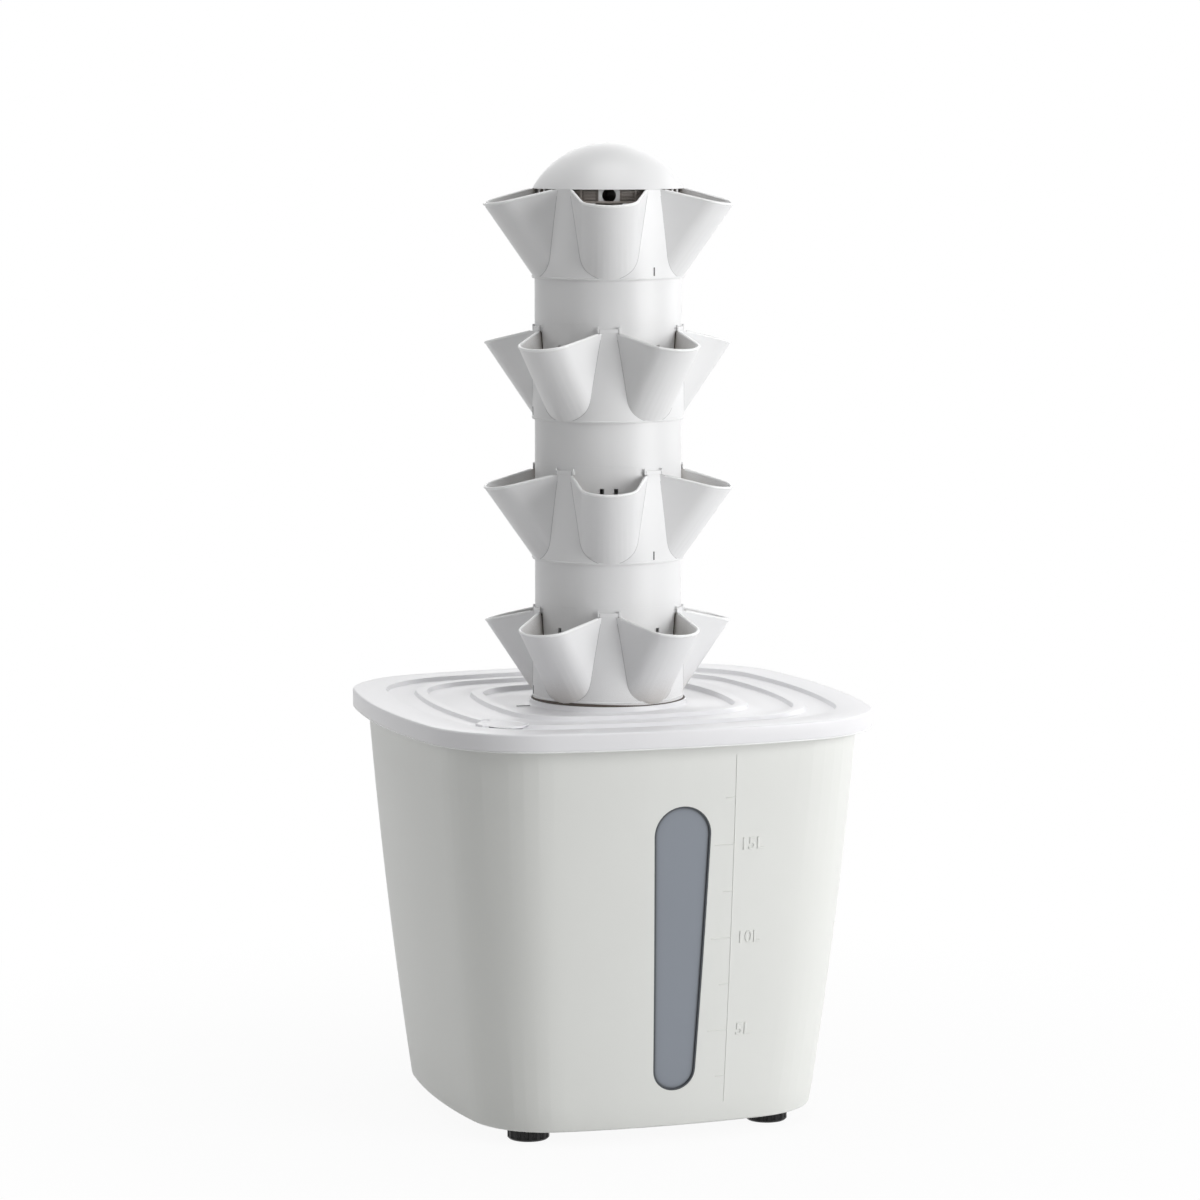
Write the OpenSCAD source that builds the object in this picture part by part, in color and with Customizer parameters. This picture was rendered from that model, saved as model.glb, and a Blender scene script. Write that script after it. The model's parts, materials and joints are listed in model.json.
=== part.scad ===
// Hydroponic planting tower: a tapered water tank on levelling feet, a terraced lid,
// and a column of four planter rings fed by a submersible pump inside the tank.
// Millimetres. The floor is z = 0, the tank's level window faces -Y and the column stands on the Z axis.

/* [Tank] */
// Half the tank's side at its base
tank_base_half = 137; // [110:1:160]
// Half the tank's side just under the lid
tank_top_half = 165.8; // [130:1:190]
// Corner radius of the tank at its base
tank_base_corner = 62; // [30:1:80]
// Corner radius of the tank at its rim
tank_top_corner = 74; // [30:1:90]
// How far each side of the tank bows outwards
tank_bow = 9; // [2:0.5:16]
// Thickness of the tank's walls
tank_wall = 2.6; // [2:0.1:4]
// Height of the tank without its feet
tank_h = 294.9; // [200:0.1:360]
// Thickness of the rolled rim that carries the lid
rim_h = 3; // [2:0.5:6]
// How far the rim stands out from the tank's sides
rim_w = 9.5; // [5:0.5:14]

/* [Level window] */
// Radius of the window's upper end
window_top_r = 20.3; // [14:0.1:30]
// Radius of the window's lower end
window_bottom_r = 14.9; // [10:0.1:26]
// Distance of the upper end's centre below the tank's top
window_top_drop = 73.7; // [40:0.1:110]
// Height of the lower end's centre above the tank's base
window_bottom_at = 43.9; // [30:0.1:90]
// How far the window's middle line stands right of the tank's
window_right = 2.9; // [-8:0.1:8]
// Width of the seal around the window
window_seal_w = 1.2; // [0.8:0.1:3]
// Thickness of the window pane
window_t = 1.6; // [1:0.1:2.4]

/* [Feet] */
// Distance of each foot from the tank's centre lines
foot_at = 93.5; // [60:1:110]
// Radius of a foot's scalloped pad
foot_r = 15.5; // [10:0.1:20]
// Height of a foot with its stud screwed home
foot_h = 10.8; // [6:0.5:20]
// Number of grip scallops around a foot
foot_scallops = 16; // [8:1:24]
// Radius of the threaded stud
stud_r = 3.95; // [3:0.05:6]
// Length of the stud above the pad
stud_l = 12; // [8:0.5:20]

/* [Lid] */
// Clearance between the tank's rim and the lid's skirt
lid_gap = 1.9; // [0.5:0.1:3]
// Corner radius of the lid
lid_corner = 86; // [40:1:100]
// How far each side of the lid bows outwards
lid_bow = 15; // [2:0.5:20]
// Height of the lid's skirt and plate together
lid_h = 13.5; // [8:0.5:24]
// Thickness of the skirt
lid_skirt_t = 2.5; // [1.6:0.1:4]
// Half the sides of the terrace walls as shares of the lid's, from the rim inwards
terrace_shares = [0.8642, 0.7535, 0.7028, 0.5342, 0.4819];
// Depth of the sunk fields below the rim, from the outer one inwards
field_depths = [2.5, 2.7, 3.4];
// Height of the raised ridges below the rim
ridge_drop = 0.2; // [0:0.1:2]

/* [Filler] */
// Distance of the filler's centre from the lid's left edge
fill_in_x = 64.7; // [50:0.1:90]
// Distance of the filler's centre from the lid's front edge
fill_in_y = 77.7; // [50:0.1:90]
// Radius of the filler hole
fill_hole_r = 15.3; // [10:0.1:20]
// Radius of the filler cap's flange
fill_flange_r = 19; // [12:0.1:24]

/* [Column] */
// Outer radius of the column tubes
tube_r = 54.9; // [40:0.1:70]
// Wall of the column tubes
tube_wall = 2; // [1.4:0.1:3]
// Height from one ring to the next
tier_pitch = 105.1; // [90:0.1:130]
// Height of the lowest ring's seat above the lid's top
tower_rise = 0.7; // [-1:0.1:3]
// Gap between parts that turn or lift past each other
play = 0.3; // [0.3:0.05:0.6]

/* [Planter ring] */
// Number of pockets around a ring
pocket_count = 5; // [3:1:6]
// Direction of the first pocket of the top ring
first_pocket = 180; // [0:1:359]
// Wall of the ring's skirt
ring_wall = 1.6; // [1.2:0.1:3]
// Height of a ring
ring_h = 66.5; // [50:0.5:80]
// Wall of the pockets
pocket_wall = 1.8; // [1.4:0.1:3]
// Lean of the pockets away from the column
pocket_lean = 35.8; // [20:0.1:45]
// Slope of the pockets' mouths
mouth_slope = 13.4; // [0:0.1:25]
// Widening of the pockets' sides towards the column
pocket_flare = 13; // [0:0.5:25]
// Radius of the pocket's nose, across its lean
nose_r = 26.5; // [20:0.5:40]
// Radius of the pocket's shoulders, across its lean
shoulder_r = 14.5; // [8:0.5:20]
// Half the distance between the shoulders' centres
shoulder_at = 7.5; // [4:0.5:14]
// Reach of the pocket's nose, across its lean
nose_reach = 45.8; // [30:0.1:60]

/* [Cap] */
// Height of the dome
dome_h = 33.7; // [20:0.1:50]
// Wall of the dome
dome_wall = 1.8; // [1.4:0.1:3]

/* [Pump and riser] */
// Outer radius of the riser pipe
riser_r = 8; // [6:0.5:12]
// Inner radius of the riser pipe
riser_bore_r = 6; // [4:0.5:9]
// Width of the pump housing
pump_w = 46; // [36:1:70]
// Depth of the pump housing
pump_d = 42; // [36:1:60]
// Height of the pump housing
pump_h = 40; // [36:1:60]
// Height of the suction feet
sucker_h = 6; // [4:0.5:10]

/* [Hidden] */

$fn = 96;
eps = 0.01;
over = 1;
reach = 150;
thread_gap = 0.05;
white = [0.91, 0.92, 0.92];
warm_white = [0.89, 0.89, 0.87];
smoke = [0.5, 0.53, 0.57, 0.8];
black = [0.05, 0.05, 0.05];
brass = [0.75, 0.6, 0.3];

// outline of a square with bowed sides and round corners
corner_steps = 9;
side_steps = 8;
bow_span_share = 0.75;
function side_r(h, b) = (pow(h * bow_span_share, 2) + b * b) / (2 * b);
function corner_k(h, rc, rs) =
    (-(rs - h) + sqrt(pow(rs - h, 2) - 2 * (pow(rs - h, 2) - pow(rs - rc, 2)))) / 2;
function quarter(h, rc, rs, k, a) = concat(
    [for (i = [0 : corner_steps])
        let (t = 90 - a + (2 * a - 90) * i / corner_steps) [k + rc * cos(t), k + rc * sin(t)]],
    [for (j = [1 : side_steps - 1])
        let (t = a + (180 - 2 * a) * j / side_steps) [rs * cos(t), h - rs + rs * sin(t)]]);
function turned(p, a) = [p[0] * cos(a) - p[1] * sin(a), p[0] * sin(a) + p[1] * cos(a)];
function outline(h, rc, b) =
    let (rs = side_r(h, b), k = corner_k(h, rc, rs), a = atan2(k - h + rs, k), part = quarter(h, rc, rs, k, a))
    [for (q = [0 : 3]) for (p = part) turned(p, 90 * q)];
loop_n = 4 * (corner_steps + side_steps);
function lifted(ps, z) = [for (p = ps) [p[0], p[1], z]];

// solid through a stack of outlines
module loft(loops) {
    n = len(loops);
    polyhedron(
        points = [for (l = loops) for (p = l) p],
        faces = concat(
            [[for (i = [0 : loop_n - 1]) i]],
            [for (j = [0 : n - 2]) for (i = [0 : loop_n - 1])
                [j * loop_n + i, (j + 1) * loop_n + i, (j + 1) * loop_n + (i + 1) % loop_n]],
            [for (j = [0 : n - 2]) for (i = [0 : loop_n - 1])
                [j * loop_n + i, (j + 1) * loop_n + (i + 1) % loop_n, j * loop_n + (i + 1) % loop_n]],
            [[for (i = [0 : loop_n - 1]) n * loop_n - 1 - i]]));
}

// tank
tank_base_z = foot_h;
tank_top_z = tank_base_z + tank_h;
wall_top_z = tank_top_z - rim_h;
rim_half = tank_top_half + rim_w;
lid_half = rim_half + lid_gap + lid_skirt_t;
tank_lean = (tank_top_half - tank_base_half) / (wall_top_z - tank_base_z);
function tank_share(z) = (z - tank_base_z) / (wall_top_z - tank_base_z);
function tank_loop(z, inset) = lifted(outline(
    tank_base_half + (tank_top_half - tank_base_half) * tank_share(z) - inset,
    tank_base_corner + (tank_top_corner - tank_base_corner) * tank_share(z) - inset,
    tank_bow), z);
function rim_loop(z) = lifted(outline(rim_half, lid_corner - lid_half + rim_half, lid_bow), z);
base_round = [[0, 2.4], [0.5, 1.2], [1.3, 0.35], [2.6, 0]];
floor_t = 3;
floor_round = 1;

face_tilt = atan(tank_lean);
module on_front() {
    translate([0, -tank_base_half, tank_base_z])
        rotate([90 + face_tilt, 0, 0])
            children();
}

window_arc_steps = 20;
window_top_at = tank_h - window_top_drop;
module window_shape(grow) {
    r1 = window_top_r + grow;
    r2 = window_bottom_r + grow;
    b = asin((r1 - r2) / (window_top_at - window_bottom_at));
    translate([window_right, 0])
        polygon(concat(
            [for (i = [0 : window_arc_steps])
                let (a = -b + (180 + 2 * b) * i / window_arc_steps)
                [r1 * cos(a), window_top_at + r1 * sin(a)]],
            [for (i = [0 : window_arc_steps])
                let (a = 180 + b + (180 - 2 * b) * i / window_arc_steps)
                [r2 * cos(a), window_bottom_at + r2 * sin(a)]]));
}
window_cut_depth = 20;
window_sink = 1.5;
seal_t = 2.2;
seal_sink = 0.4;

boss_r = 9.5;
boss_roof = 3;
insert_r = 6;
insert_spare = 1;
insert_l = stud_l + insert_spare;
boss_h = insert_l + boss_roof;
foot_xy = [[-foot_at, -foot_at], [foot_at, -foot_at], [foot_at, foot_at], [-foot_at, foot_at]];
cord_w = 10;
cord_d = 16;

module tank_shell() {
    color(warm_white)
    difference() {
        union() {
            difference() {
                loft(concat(
                    [for (s = base_round) tank_loop(tank_base_z + s[0], s[1])],
                    [tank_loop(wall_top_z, 0), rim_loop(wall_top_z), rim_loop(tank_top_z)]));
                loft([tank_loop(tank_base_z + floor_t, tank_wall + floor_round),
                    tank_loop(tank_base_z + 2 * floor_t, tank_wall),
                    tank_loop(tank_top_z + over, tank_wall)]);
            }
            for (p = foot_xy)
                translate([p[0], p[1], tank_base_z + floor_t / 2])
                    cylinder(r = boss_r, h = boss_h);
        }
        on_front()
            translate([0, 0, -window_cut_depth])
                linear_extrude(2 * window_cut_depth)
                    window_shape(window_seal_w);
        for (p = foot_xy)
            translate([p[0], p[1], tank_base_z - over])
                cylinder(r = insert_r, h = insert_l + over);
        translate([-cord_w / 2, rim_half - cord_d, wall_top_z - over])
            cube([cord_w, cord_d + lid_bow, rim_h + 2 * over]);
    }
}

module window_seal() {
    color(black)
    on_front()
        translate([0, 0, -seal_sink - seal_t])
            linear_extrude(seal_t)
                difference() {
                    window_shape(window_seal_w);
                    window_shape(0);
                }
}

module level_window() {
    color(smoke)
    on_front()
        translate([0, 0, -window_sink - window_t])
            linear_extrude(window_t)
                window_shape(0);
}

// feet
pad_gap = 0.2;
pad_edge = 1.2;
scallop_r = 1.9;
scallop_out = 0.9;
scallop_low = 2;
scallop_facets = 24;

module foot_insert(i) {
    color(brass)
    translate([foot_xy[i][0], foot_xy[i][1], tank_base_z])
        difference() {
            cylinder(r = insert_r, h = insert_l);
            translate([0, 0, -over])
                cylinder(r = stud_r + thread_gap, h = insert_l + 2 * over);
        }
}

module foot_stud(i) {
    color(black)
    translate([foot_xy[i][0], foot_xy[i][1], foot_h - pad_gap])
        cylinder(r = stud_r, h = stud_l);
}

module foot_pad(i) {
    color(black)
    translate([foot_xy[i][0], foot_xy[i][1], 0])
        difference() {
            union() {
                cylinder(r1 = foot_r - pad_edge, r2 = foot_r, h = pad_edge);
                translate([0, 0, pad_edge])
                    cylinder(r = foot_r, h = foot_h - pad_gap - 2 * pad_edge);
                translate([0, 0, foot_h - pad_gap - pad_edge])
                    cylinder(r1 = foot_r, r2 = foot_r - pad_edge, h = pad_edge);
            }
            for (k = [0 : foot_scallops - 1])
                rotate([0, 0, k * 360 / foot_scallops])
                    translate([foot_r + scallop_out, 0, scallop_low])
                        cylinder(r = scallop_r, h = foot_h, $fn = scallop_facets);
        }
}

module foot_insert_1() { foot_insert(0); }
module foot_insert_2() { foot_insert(1); }
module foot_insert_3() { foot_insert(2); }
module foot_insert_4() { foot_insert(3); }
module foot_stud_1() { foot_stud(0); }
module foot_stud_2() { foot_stud(1); }
module foot_stud_3() { foot_stud(2); }
module foot_stud_4() { foot_stud(3); }
module foot_pad_1() { foot_pad(0); }
module foot_pad_2() { foot_pad(1); }
module foot_pad_3() { foot_pad(2); }
module foot_pad_4() { foot_pad(3); }

// lid
lid_plate_t = 5.1;
lid_top_z = tank_top_z + lid_plate_t;
lid_low_z = lid_top_z - lid_h;
tower_z = lid_top_z + tower_rise;
ring_in_r = tube_r + play;
ring_r = ring_in_r + ring_wall;
edge_round = [[0, 0], [0.6, 0.15], [1.2, 0.5], [1.6, 1.1]];
function lid_outline(half) = outline(half, lid_corner * half / lid_half, lid_bow * half / lid_half);
collar_gap = 1.1;
collar_wall = 1.4;
collar_drop = 0.4;
collar_top_z = tower_z - collar_drop;
collar_in_r = ring_r + collar_gap;
collar_r = collar_in_r + collar_wall;
collar_foot_w = 2.3;
collar_foot_lean = 1.8;
collar_foot_h = 1.2;
collar_base_r = collar_r + collar_foot_w;
spigot_top = 5;
well_depth = 8.2;
well_floor_z = tower_z - well_depth;
well_floor_t = 2.2;
riser_hole_r = riser_r + play;
drain_r = 7;
drain_in = 22.9;
drain_at = tube_r - drain_in;
drain_count = 6;
fill_x = -lid_half + fill_in_x;
fill_y = -lid_half + fill_in_y;
fill_pad_w = 2.5;
fill_pad_r = fill_flange_r + fill_pad_w;
fill_pad_drop = 2.2;
key_count = 3;
key_half_angle = 7;
key_low = -1.7;
key_h = 2.7;
key_reach = 1.8;

module tube_keys(at_z) {
    for (k = [0 : key_count - 1])
        rotate([0, 0, k * 360 / key_count])
            translate([0, 0, at_z + key_low])
                rotate([0, 0, -key_half_angle])
                    rotate_extrude(angle = 2 * key_half_angle)
                        translate([tube_r - tube_wall - key_reach, 0])
                            square([key_reach + tube_wall / 2, key_h]);
}

function terrace_half(i) = lid_half * terrace_shares[i];
module terrace(outer, inner, depth) {
    translate([0, 0, lid_top_z - depth])
        linear_extrude(lid_h)
            difference() {
                polygon(lid_outline(outer));
                if (inner > 0)
                    polygon(lid_outline(inner));
            }
}

module lid() {
    color(white)
    difference() {
        union() {
            difference() {
                union() {
                    translate([0, 0, lid_low_z])
                        linear_extrude(lid_h - edge_round[3][0])
                            polygon(lid_outline(lid_half));
                    for (i = [0 : 2])
                        translate([0, 0, lid_top_z - edge_round[3][0] + edge_round[i][0]])
                            linear_extrude(edge_round[i + 1][0] - edge_round[i][0])
                                polygon(lid_outline(lid_half - (edge_round[i][1] + edge_round[i + 1][1]) / 2));
                }
                translate([0, 0, lid_low_z - over])
                    linear_extrude(tank_top_z - lid_low_z + over)
                        polygon(lid_outline(lid_half - lid_skirt_t));
                terrace(terrace_half(0), terrace_half(1), field_depths[0]);
                terrace(terrace_half(1) + over, terrace_half(2) - over, ridge_drop);
                terrace(terrace_half(2), terrace_half(3), field_depths[1]);
                terrace(terrace_half(3) + over, terrace_half(4) - over, ridge_drop);
                terrace(terrace_half(4), 0, field_depths[2]);
                translate([fill_x, fill_y, lid_top_z - fill_pad_drop])
                    cylinder(r = fill_pad_r, h = lid_h);
            }
            translate([0, 0, lid_top_z - field_depths[2] - eps])
                cylinder(r1 = collar_base_r, r2 = collar_base_r - collar_foot_lean, h = collar_foot_h);
            translate([0, 0, lid_top_z - field_depths[2] - eps])
                cylinder(r = collar_r, h = collar_top_z - lid_top_z + field_depths[2] + eps);
            translate([0, 0, well_floor_z])
                cylinder(r = tube_r, h = tower_z + spigot_top - well_floor_z);
        }
        translate([0, 0, lid_top_z - field_depths[2]])
            difference() {
                cylinder(r = collar_in_r, h = reach);
                translate([0, 0, -over])
                    cylinder(r = tube_r, h = reach + 2 * over);
            }
        difference() {
            translate([0, 0, well_floor_z + well_floor_t])
                cylinder(r = tube_r - tube_wall, h = reach);
            tube_keys(tower_z);
        }
        translate([0, 0, well_floor_z - over])
            cylinder(r = riser_hole_r, h = well_floor_t + 2 * over);
        for (k = [0 : drain_count - 1])
            rotate([0, 0, (k + 1 / 2) * 360 / drain_count])
                translate([drain_at, 0, well_floor_z - over])
                    cylinder(r = drain_r, h = well_floor_t + 2 * over);
        translate([fill_x, fill_y, tank_top_z - over])
            cylinder(r = fill_hole_r, h = lid_plate_t + 2 * over);
        translate([-cord_w / 2, lid_half - 2 * lid_skirt_t, lid_low_z - over])
            cube([cord_w, 4 * lid_skirt_t, tank_top_z - lid_low_z + over]);
    }
}

fill_plug_l = 6;
fill_plug_wall = 2;
fill_plug_roof = 1;
fill_flange_t = 1.6;
fill_tab_turn = 197;
tab_w = 9;
tab_root = 3;
tab_low = 0.4;
tab_t = 2.2;

module fill_cap() {
    color(white)
    translate([fill_x, fill_y, lid_top_z - fill_pad_drop]) {
        cylinder(r = fill_flange_r, h = fill_flange_t);
        translate([0, 0, -fill_plug_l])
            difference() {
                cylinder(r = fill_hole_r - play, h = fill_plug_l + eps);
                translate([0, 0, -over])
                    cylinder(r = fill_hole_r - play - fill_plug_wall, h = fill_plug_l - fill_plug_roof + over);
            }
        rotate([0, 0, fill_tab_turn])
            translate([fill_flange_r - tab_root, -tab_w / 2, tab_low])
                cube([fill_pad_r - play - fill_flange_r + tab_root, tab_w, tab_t]);
    }
}

// planter rings
function tier_z(k) = tower_z + (4 - k) * tier_pitch;
function tier_turn(k) = first_pocket + (k % 2 == 1 ? 0 : 180 / pocket_count);
pocket_step = 360 / pocket_count;
ledge_z = spigot_top;
ledge_t = 2;
ledge_w = 5.9;
ledge_in_r = tube_r - ledge_w;
nose_x = nose_reach - nose_r;
shoulder_x = nose_x + sqrt(pow(nose_r - shoulder_r, 2) - pow(shoulder_at, 2));
pocket_below = 40;
pocket_above = 110;
mouth_in = 6.8;
mouth_x = ring_r - mouth_in;
mouth_drop = 0.2;
shoulder_steps = 5;
nose_steps = 4;
hook_inset = 0.4;
hook_t = 1.4;
hook_toe_w = 1.6;
hook_in_r = ledge_in_r + hook_inset;
hook_r = hook_in_r + hook_t;
hook_toe_r = hook_r + hook_toe_w;
hook_low = -4;
hook_toe_h = 2;
hook_half_angle = 6;

module pocket_profile(t) {
    s = shoulder_r - t;
    beta = atan2(shoulder_at, shoulder_x - nose_x);
    half = concat(
        [[0, shoulder_at + s * cos(pocket_flare) + (shoulder_x + s * sin(pocket_flare)) * tan(pocket_flare)]],
        [for (i = [0 : shoulder_steps])
            let (a = 90 - pocket_flare + (beta - 90 + pocket_flare) * i / shoulder_steps)
            [shoulder_x + s * cos(a), shoulder_at + s * sin(a)]],
        [for (i = [1 : nose_steps])
            let (a = beta * (1 - i / nose_steps))
            [nose_x + (nose_r - t) * cos(a), (nose_r - t) * sin(a)]]);
    n = len(half);
    polygon(concat(half, [for (i = [1 : n - 1]) [half[n - 1 - i][0], -half[n - 1 - i][1]]]));
}

module pocket_prisms(t) {
    for (i = [0 : pocket_count - 1])
        rotate([0, 0, i * pocket_step])
            rotate([0, pocket_lean, 0])
                translate([0, 0, -pocket_below])
                    linear_extrude(pocket_below + pocket_above)
                        pocket_profile(t);
}

module half_space(z) {
    translate([-reach, -reach, z - 2 * reach])
        cube(2 * reach);
}

module ring_part(k) {
    color(white)
    translate([0, 0, tier_z(k)]) {
        rotate([0, 0, tier_turn(k)])
            difference() {
                union() {
                    cylinder(r = ring_r, h = ring_h);
                    pocket_prisms(0);
                }
                half_space(0);
                translate([0, 0, ring_h + 2 * reach])
                    half_space(0);
                for (i = [0 : pocket_count - 1])
                    rotate([0, 0, i * pocket_step])
                        translate([mouth_x, 0, ring_h - mouth_drop])
                            rotate([0, mouth_slope, 0])
                                translate([-reach, -reach, 0])
                                    cube(2 * reach);
                translate([0, 0, -over])
                    cylinder(r = ring_in_r, h = ledge_z + over);
                translate([0, 0, -over])
                    cylinder(r = ledge_in_r, h = ring_h + reach);
                translate([0, 0, ledge_z + ledge_t])
                    cylinder(r = ring_in_r, h = ring_h + reach);
                difference() {
                    pocket_prisms(pocket_wall);
                    half_space(ledge_z + ledge_t);
                }
            }
        for (j = [0 : key_count - 1])
            rotate([0, 0, j * 360 / key_count - hook_half_angle])
                rotate_extrude(angle = 2 * hook_half_angle)
                    polygon([
                        [hook_in_r, hook_low], [hook_toe_r, hook_low],
                        [hook_toe_r, hook_low + hook_toe_h], [hook_r, hook_low + hook_toe_h],
                        [hook_r, ledge_z + ledge_t / 2], [hook_in_r, ledge_z + ledge_t / 2]]);
    }
}

module planter_ring_1() { ring_part(1); }
module planter_ring_2() { ring_part(2); }
module planter_ring_3() { ring_part(3); }
module planter_ring_4() { ring_part(4); }

// column tubes
tray_z = 36;
slot_w = 3;
slot_gap = 10.5;
slot_rise = 5;
slot_l = 14;
slot_low = tray_z + slot_rise;
lug_h = 3;
lug_span = 17;
lug_w = 2.1;
lug_out_r = tube_r + lug_w;
short_tube_drop = 10;
short_tube_top = ring_h - short_tube_drop;
notch_w = 20;
notch_d = 7;
cut_depth = 6;

module tube_part(k, top, slots) {
    color(white)
    translate([0, 0, tier_z(k)])
        rotate([0, 0, tier_turn(k)])
            difference() {
                union() {
                    difference() {
                        translate([0, 0, ledge_z + ledge_t])
                            cylinder(r = tube_r, h = top - ledge_z - ledge_t);
                        cylinder(r = tube_r - tube_wall, h = top + over);
                    }
                    if (slots) {
                        rotate([0, 0, -tier_turn(k)])
                            tube_keys(tier_pitch);
                        for (i = [0 : pocket_count - 1])
                            rotate([0, 0, (i + 1 / 2) * pocket_step])
                                intersection() {
                                    translate([0, 0, ring_h])
                                        difference() {
                                            cylinder(r = lug_out_r, h = lug_h);
                                            translate([0, 0, -over])
                                                cylinder(r = tube_r - tube_wall / 2, h = lug_h + 2 * over);
                                        }
                                    translate([0, -lug_span / 2, 0])
                                        cube([reach, lug_span, reach]);
                                }
                    }
                }
                for (i = [0 : pocket_count - 1])
                    rotate([0, 0, i * pocket_step]) {
                        if (slots) {
                            for (s = [-1, 1])
                                translate([tube_r - cut_depth, s * slot_gap / 2 - slot_w / 2, slot_low])
                                    cube([2 * cut_depth, slot_w, slot_l]);
                        } else {
                            translate([tube_r - cut_depth, -notch_w / 2, top - notch_d])
                                cube([2 * cut_depth, notch_w, notch_d + over]);
                        }
                    }
            }
}

module column_tube_1() { tube_part(1, short_tube_top, false); }
module column_tube_2() { tube_part(2, tier_pitch + spigot_top, true); }
module column_tube_3() { tube_part(3, tier_pitch + spigot_top, true); }
module column_tube_4() { tube_part(4, tier_pitch + spigot_top, true); }

// drip trays
tray_t = 2;
tray_r = tube_r - tube_wall - play;
tray_rim_t = 1.6;
tray_rim_h = 4;
tray_hub_r = 12;
tray_hub_h = 8;
tray_leg_w = 8;
tray_leg_t = 2;
tray_drain_r = 4;

module tray_part(k) {
    color(white)
    translate([0, 0, tier_z(k)])
        rotate([0, 0, tier_turn(k)])
            difference() {
                union() {
                    translate([0, 0, tray_z]) {
                        cylinder(r = tray_r, h = tray_t);
                        cylinder(r = tray_hub_r, h = tray_hub_h);
                        difference() {
                            cylinder(r = tray_r, h = tray_rim_h);
                            cylinder(r = tray_r - tray_rim_t, h = tray_rim_h + over);
                        }
                    }
                    intersection() {
                        difference() {
                            cylinder(r = tray_r, h = tray_z + over);
                            translate([0, 0, -over])
                                cylinder(r = tray_r - tray_leg_t, h = tray_z + 3 * over);
                        }
                        for (i = [0 : pocket_count - 1])
                            rotate([0, 0, i * pocket_step])
                                translate([0, -tray_leg_w / 2, ledge_z + ledge_t])
                                    cube([reach, tray_leg_w, tray_z - ledge_z - ledge_t + over]);
                    }
                }
                translate([0, 0, tray_z - over])
                    cylinder(r = riser_hole_r, h = tray_hub_h + 2 * over);
                for (i = [0 : pocket_count - 1])
                    rotate([0, 0, (i + 1 / 2) * pocket_step])
                        translate([drain_at, 0, tray_z - over])
                            cylinder(r = tray_drain_r, h = tray_t + 2 * over);
            }
}

module drip_tray_1() { tray_part(1); }
module drip_tray_2() { tray_part(2); }
module drip_tray_3() { tray_part(3); }
module drip_tray_4() { tray_part(4); }

// water distributor under the dome
spout_bore_r = 5.1;
spout_rise = 5.7;
spout_w = 16.3;
spout_h = 13;
spout_low = short_tube_top;
spout_z = spout_low + spout_rise;
spout_in = 3.4;
spout_face = tube_r - spout_in;
spout_t = 4;
arm_r = 6.4;
hub_wall = 2.7;
hub_r = riser_hole_r + hub_wall;
hub_l = 20;
hub_dip = 6.5;
hub_low = spout_low - hub_dip;
hub_socket = 7.5;
hub_roof = 2.5;
chamber_r = riser_bore_r;
drum_in = 4.4;
drum_r = tube_r - drum_in;
drum_wall = 2;
drum_h = 9.5;
flange_t = 1.5;
fin_w = 1.6;
fin_at = 4;
fin_t = 4;

module distributor() {
    color(white)
    translate([0, 0, tier_z(1)])
        rotate([0, 0, tier_turn(1)])
            difference() {
                union() {
                    translate([0, 0, spout_low])
                        difference() {
                            cylinder(r = drum_r, h = drum_h);
                            translate([0, 0, -over])
                                cylinder(r = drum_r - drum_wall, h = drum_h + 2 * over);
                        }
                    translate([0, 0, spout_low])
                        difference() {
                            cylinder(r = tube_r, h = flange_t);
                            translate([0, 0, -over])
                                cylinder(r = drum_r - drum_wall, h = flange_t + 2 * over);
                        }
                    translate([0, 0, hub_low])
                        cylinder(r = hub_r, h = hub_l);
                    for (i = [0 : pocket_count - 1])
                        rotate([0, 0, i * pocket_step]) {
                            translate([0, 0, spout_z])
                                rotate([0, 90, 0])
                                    cylinder(r = arm_r, h = spout_face - spout_t / 2);
                            translate([spout_face - spout_t, -spout_w / 2, spout_low])
                                cube([spout_t, spout_w, spout_h]);
                            for (s = [-1, 1])
                                translate([drum_r - drum_wall, s * fin_at - fin_w / 2, spout_low - notch_d + over])
                                    cube([fin_t, fin_w, notch_d]);
                        }
                }
                for (i = [0 : pocket_count - 1])
                    rotate([0, 0, i * pocket_step])
                        translate([0, 0, spout_z])
                            rotate([0, 90, 0])
                                cylinder(r = spout_bore_r, h = spout_face + over);
                translate([0, 0, hub_low - over])
                    cylinder(r = riser_hole_r, h = hub_socket + over);
                translate([0, 0, hub_low])
                    cylinder(r = chamber_r, h = hub_l - hub_roof);
            }
}

// dome cap
dome_z = tier_z(1) + ring_h;
dome_inset = 0.3;
dome_foot_r = ring_r - dome_inset;
dome_r = (dome_foot_r * dome_foot_r + dome_h * dome_h) / (2 * dome_h);
clip_w = 9;
clip_h = 5;
clip_root = 0.8;
clip_inset = 0.4;
clip_t = 1.8;
clip_out_r = ring_in_r - clip_inset;
clip_in_r = clip_out_r - clip_t;

module dome_cap() {
    color(white)
    translate([0, 0, dome_z])
        union() {
            difference() {
                translate([0, 0, dome_h - dome_r])
                    sphere(r = dome_r);
                translate([0, 0, dome_h - dome_r])
                    sphere(r = dome_r - dome_wall);
                half_space(0);
            }
            rotate([0, 0, tier_turn(1)])
                for (i = [0 : pocket_count - 1])
                    rotate([0, 0, (i + 1 / 2) * pocket_step])
                        intersection() {
                            translate([0, 0, -clip_h])
                                difference() {
                                    cylinder(r = clip_out_r, h = clip_h + clip_root);
                                    translate([0, 0, -over])
                                        cylinder(r = clip_in_r, h = clip_h + clip_root + 2 * over);
                                }
                            translate([0, -clip_w / 2, -clip_h - over])
                                cube([reach, clip_w, 2 * clip_h + 2 * over]);
                        }
        }
}

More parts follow.
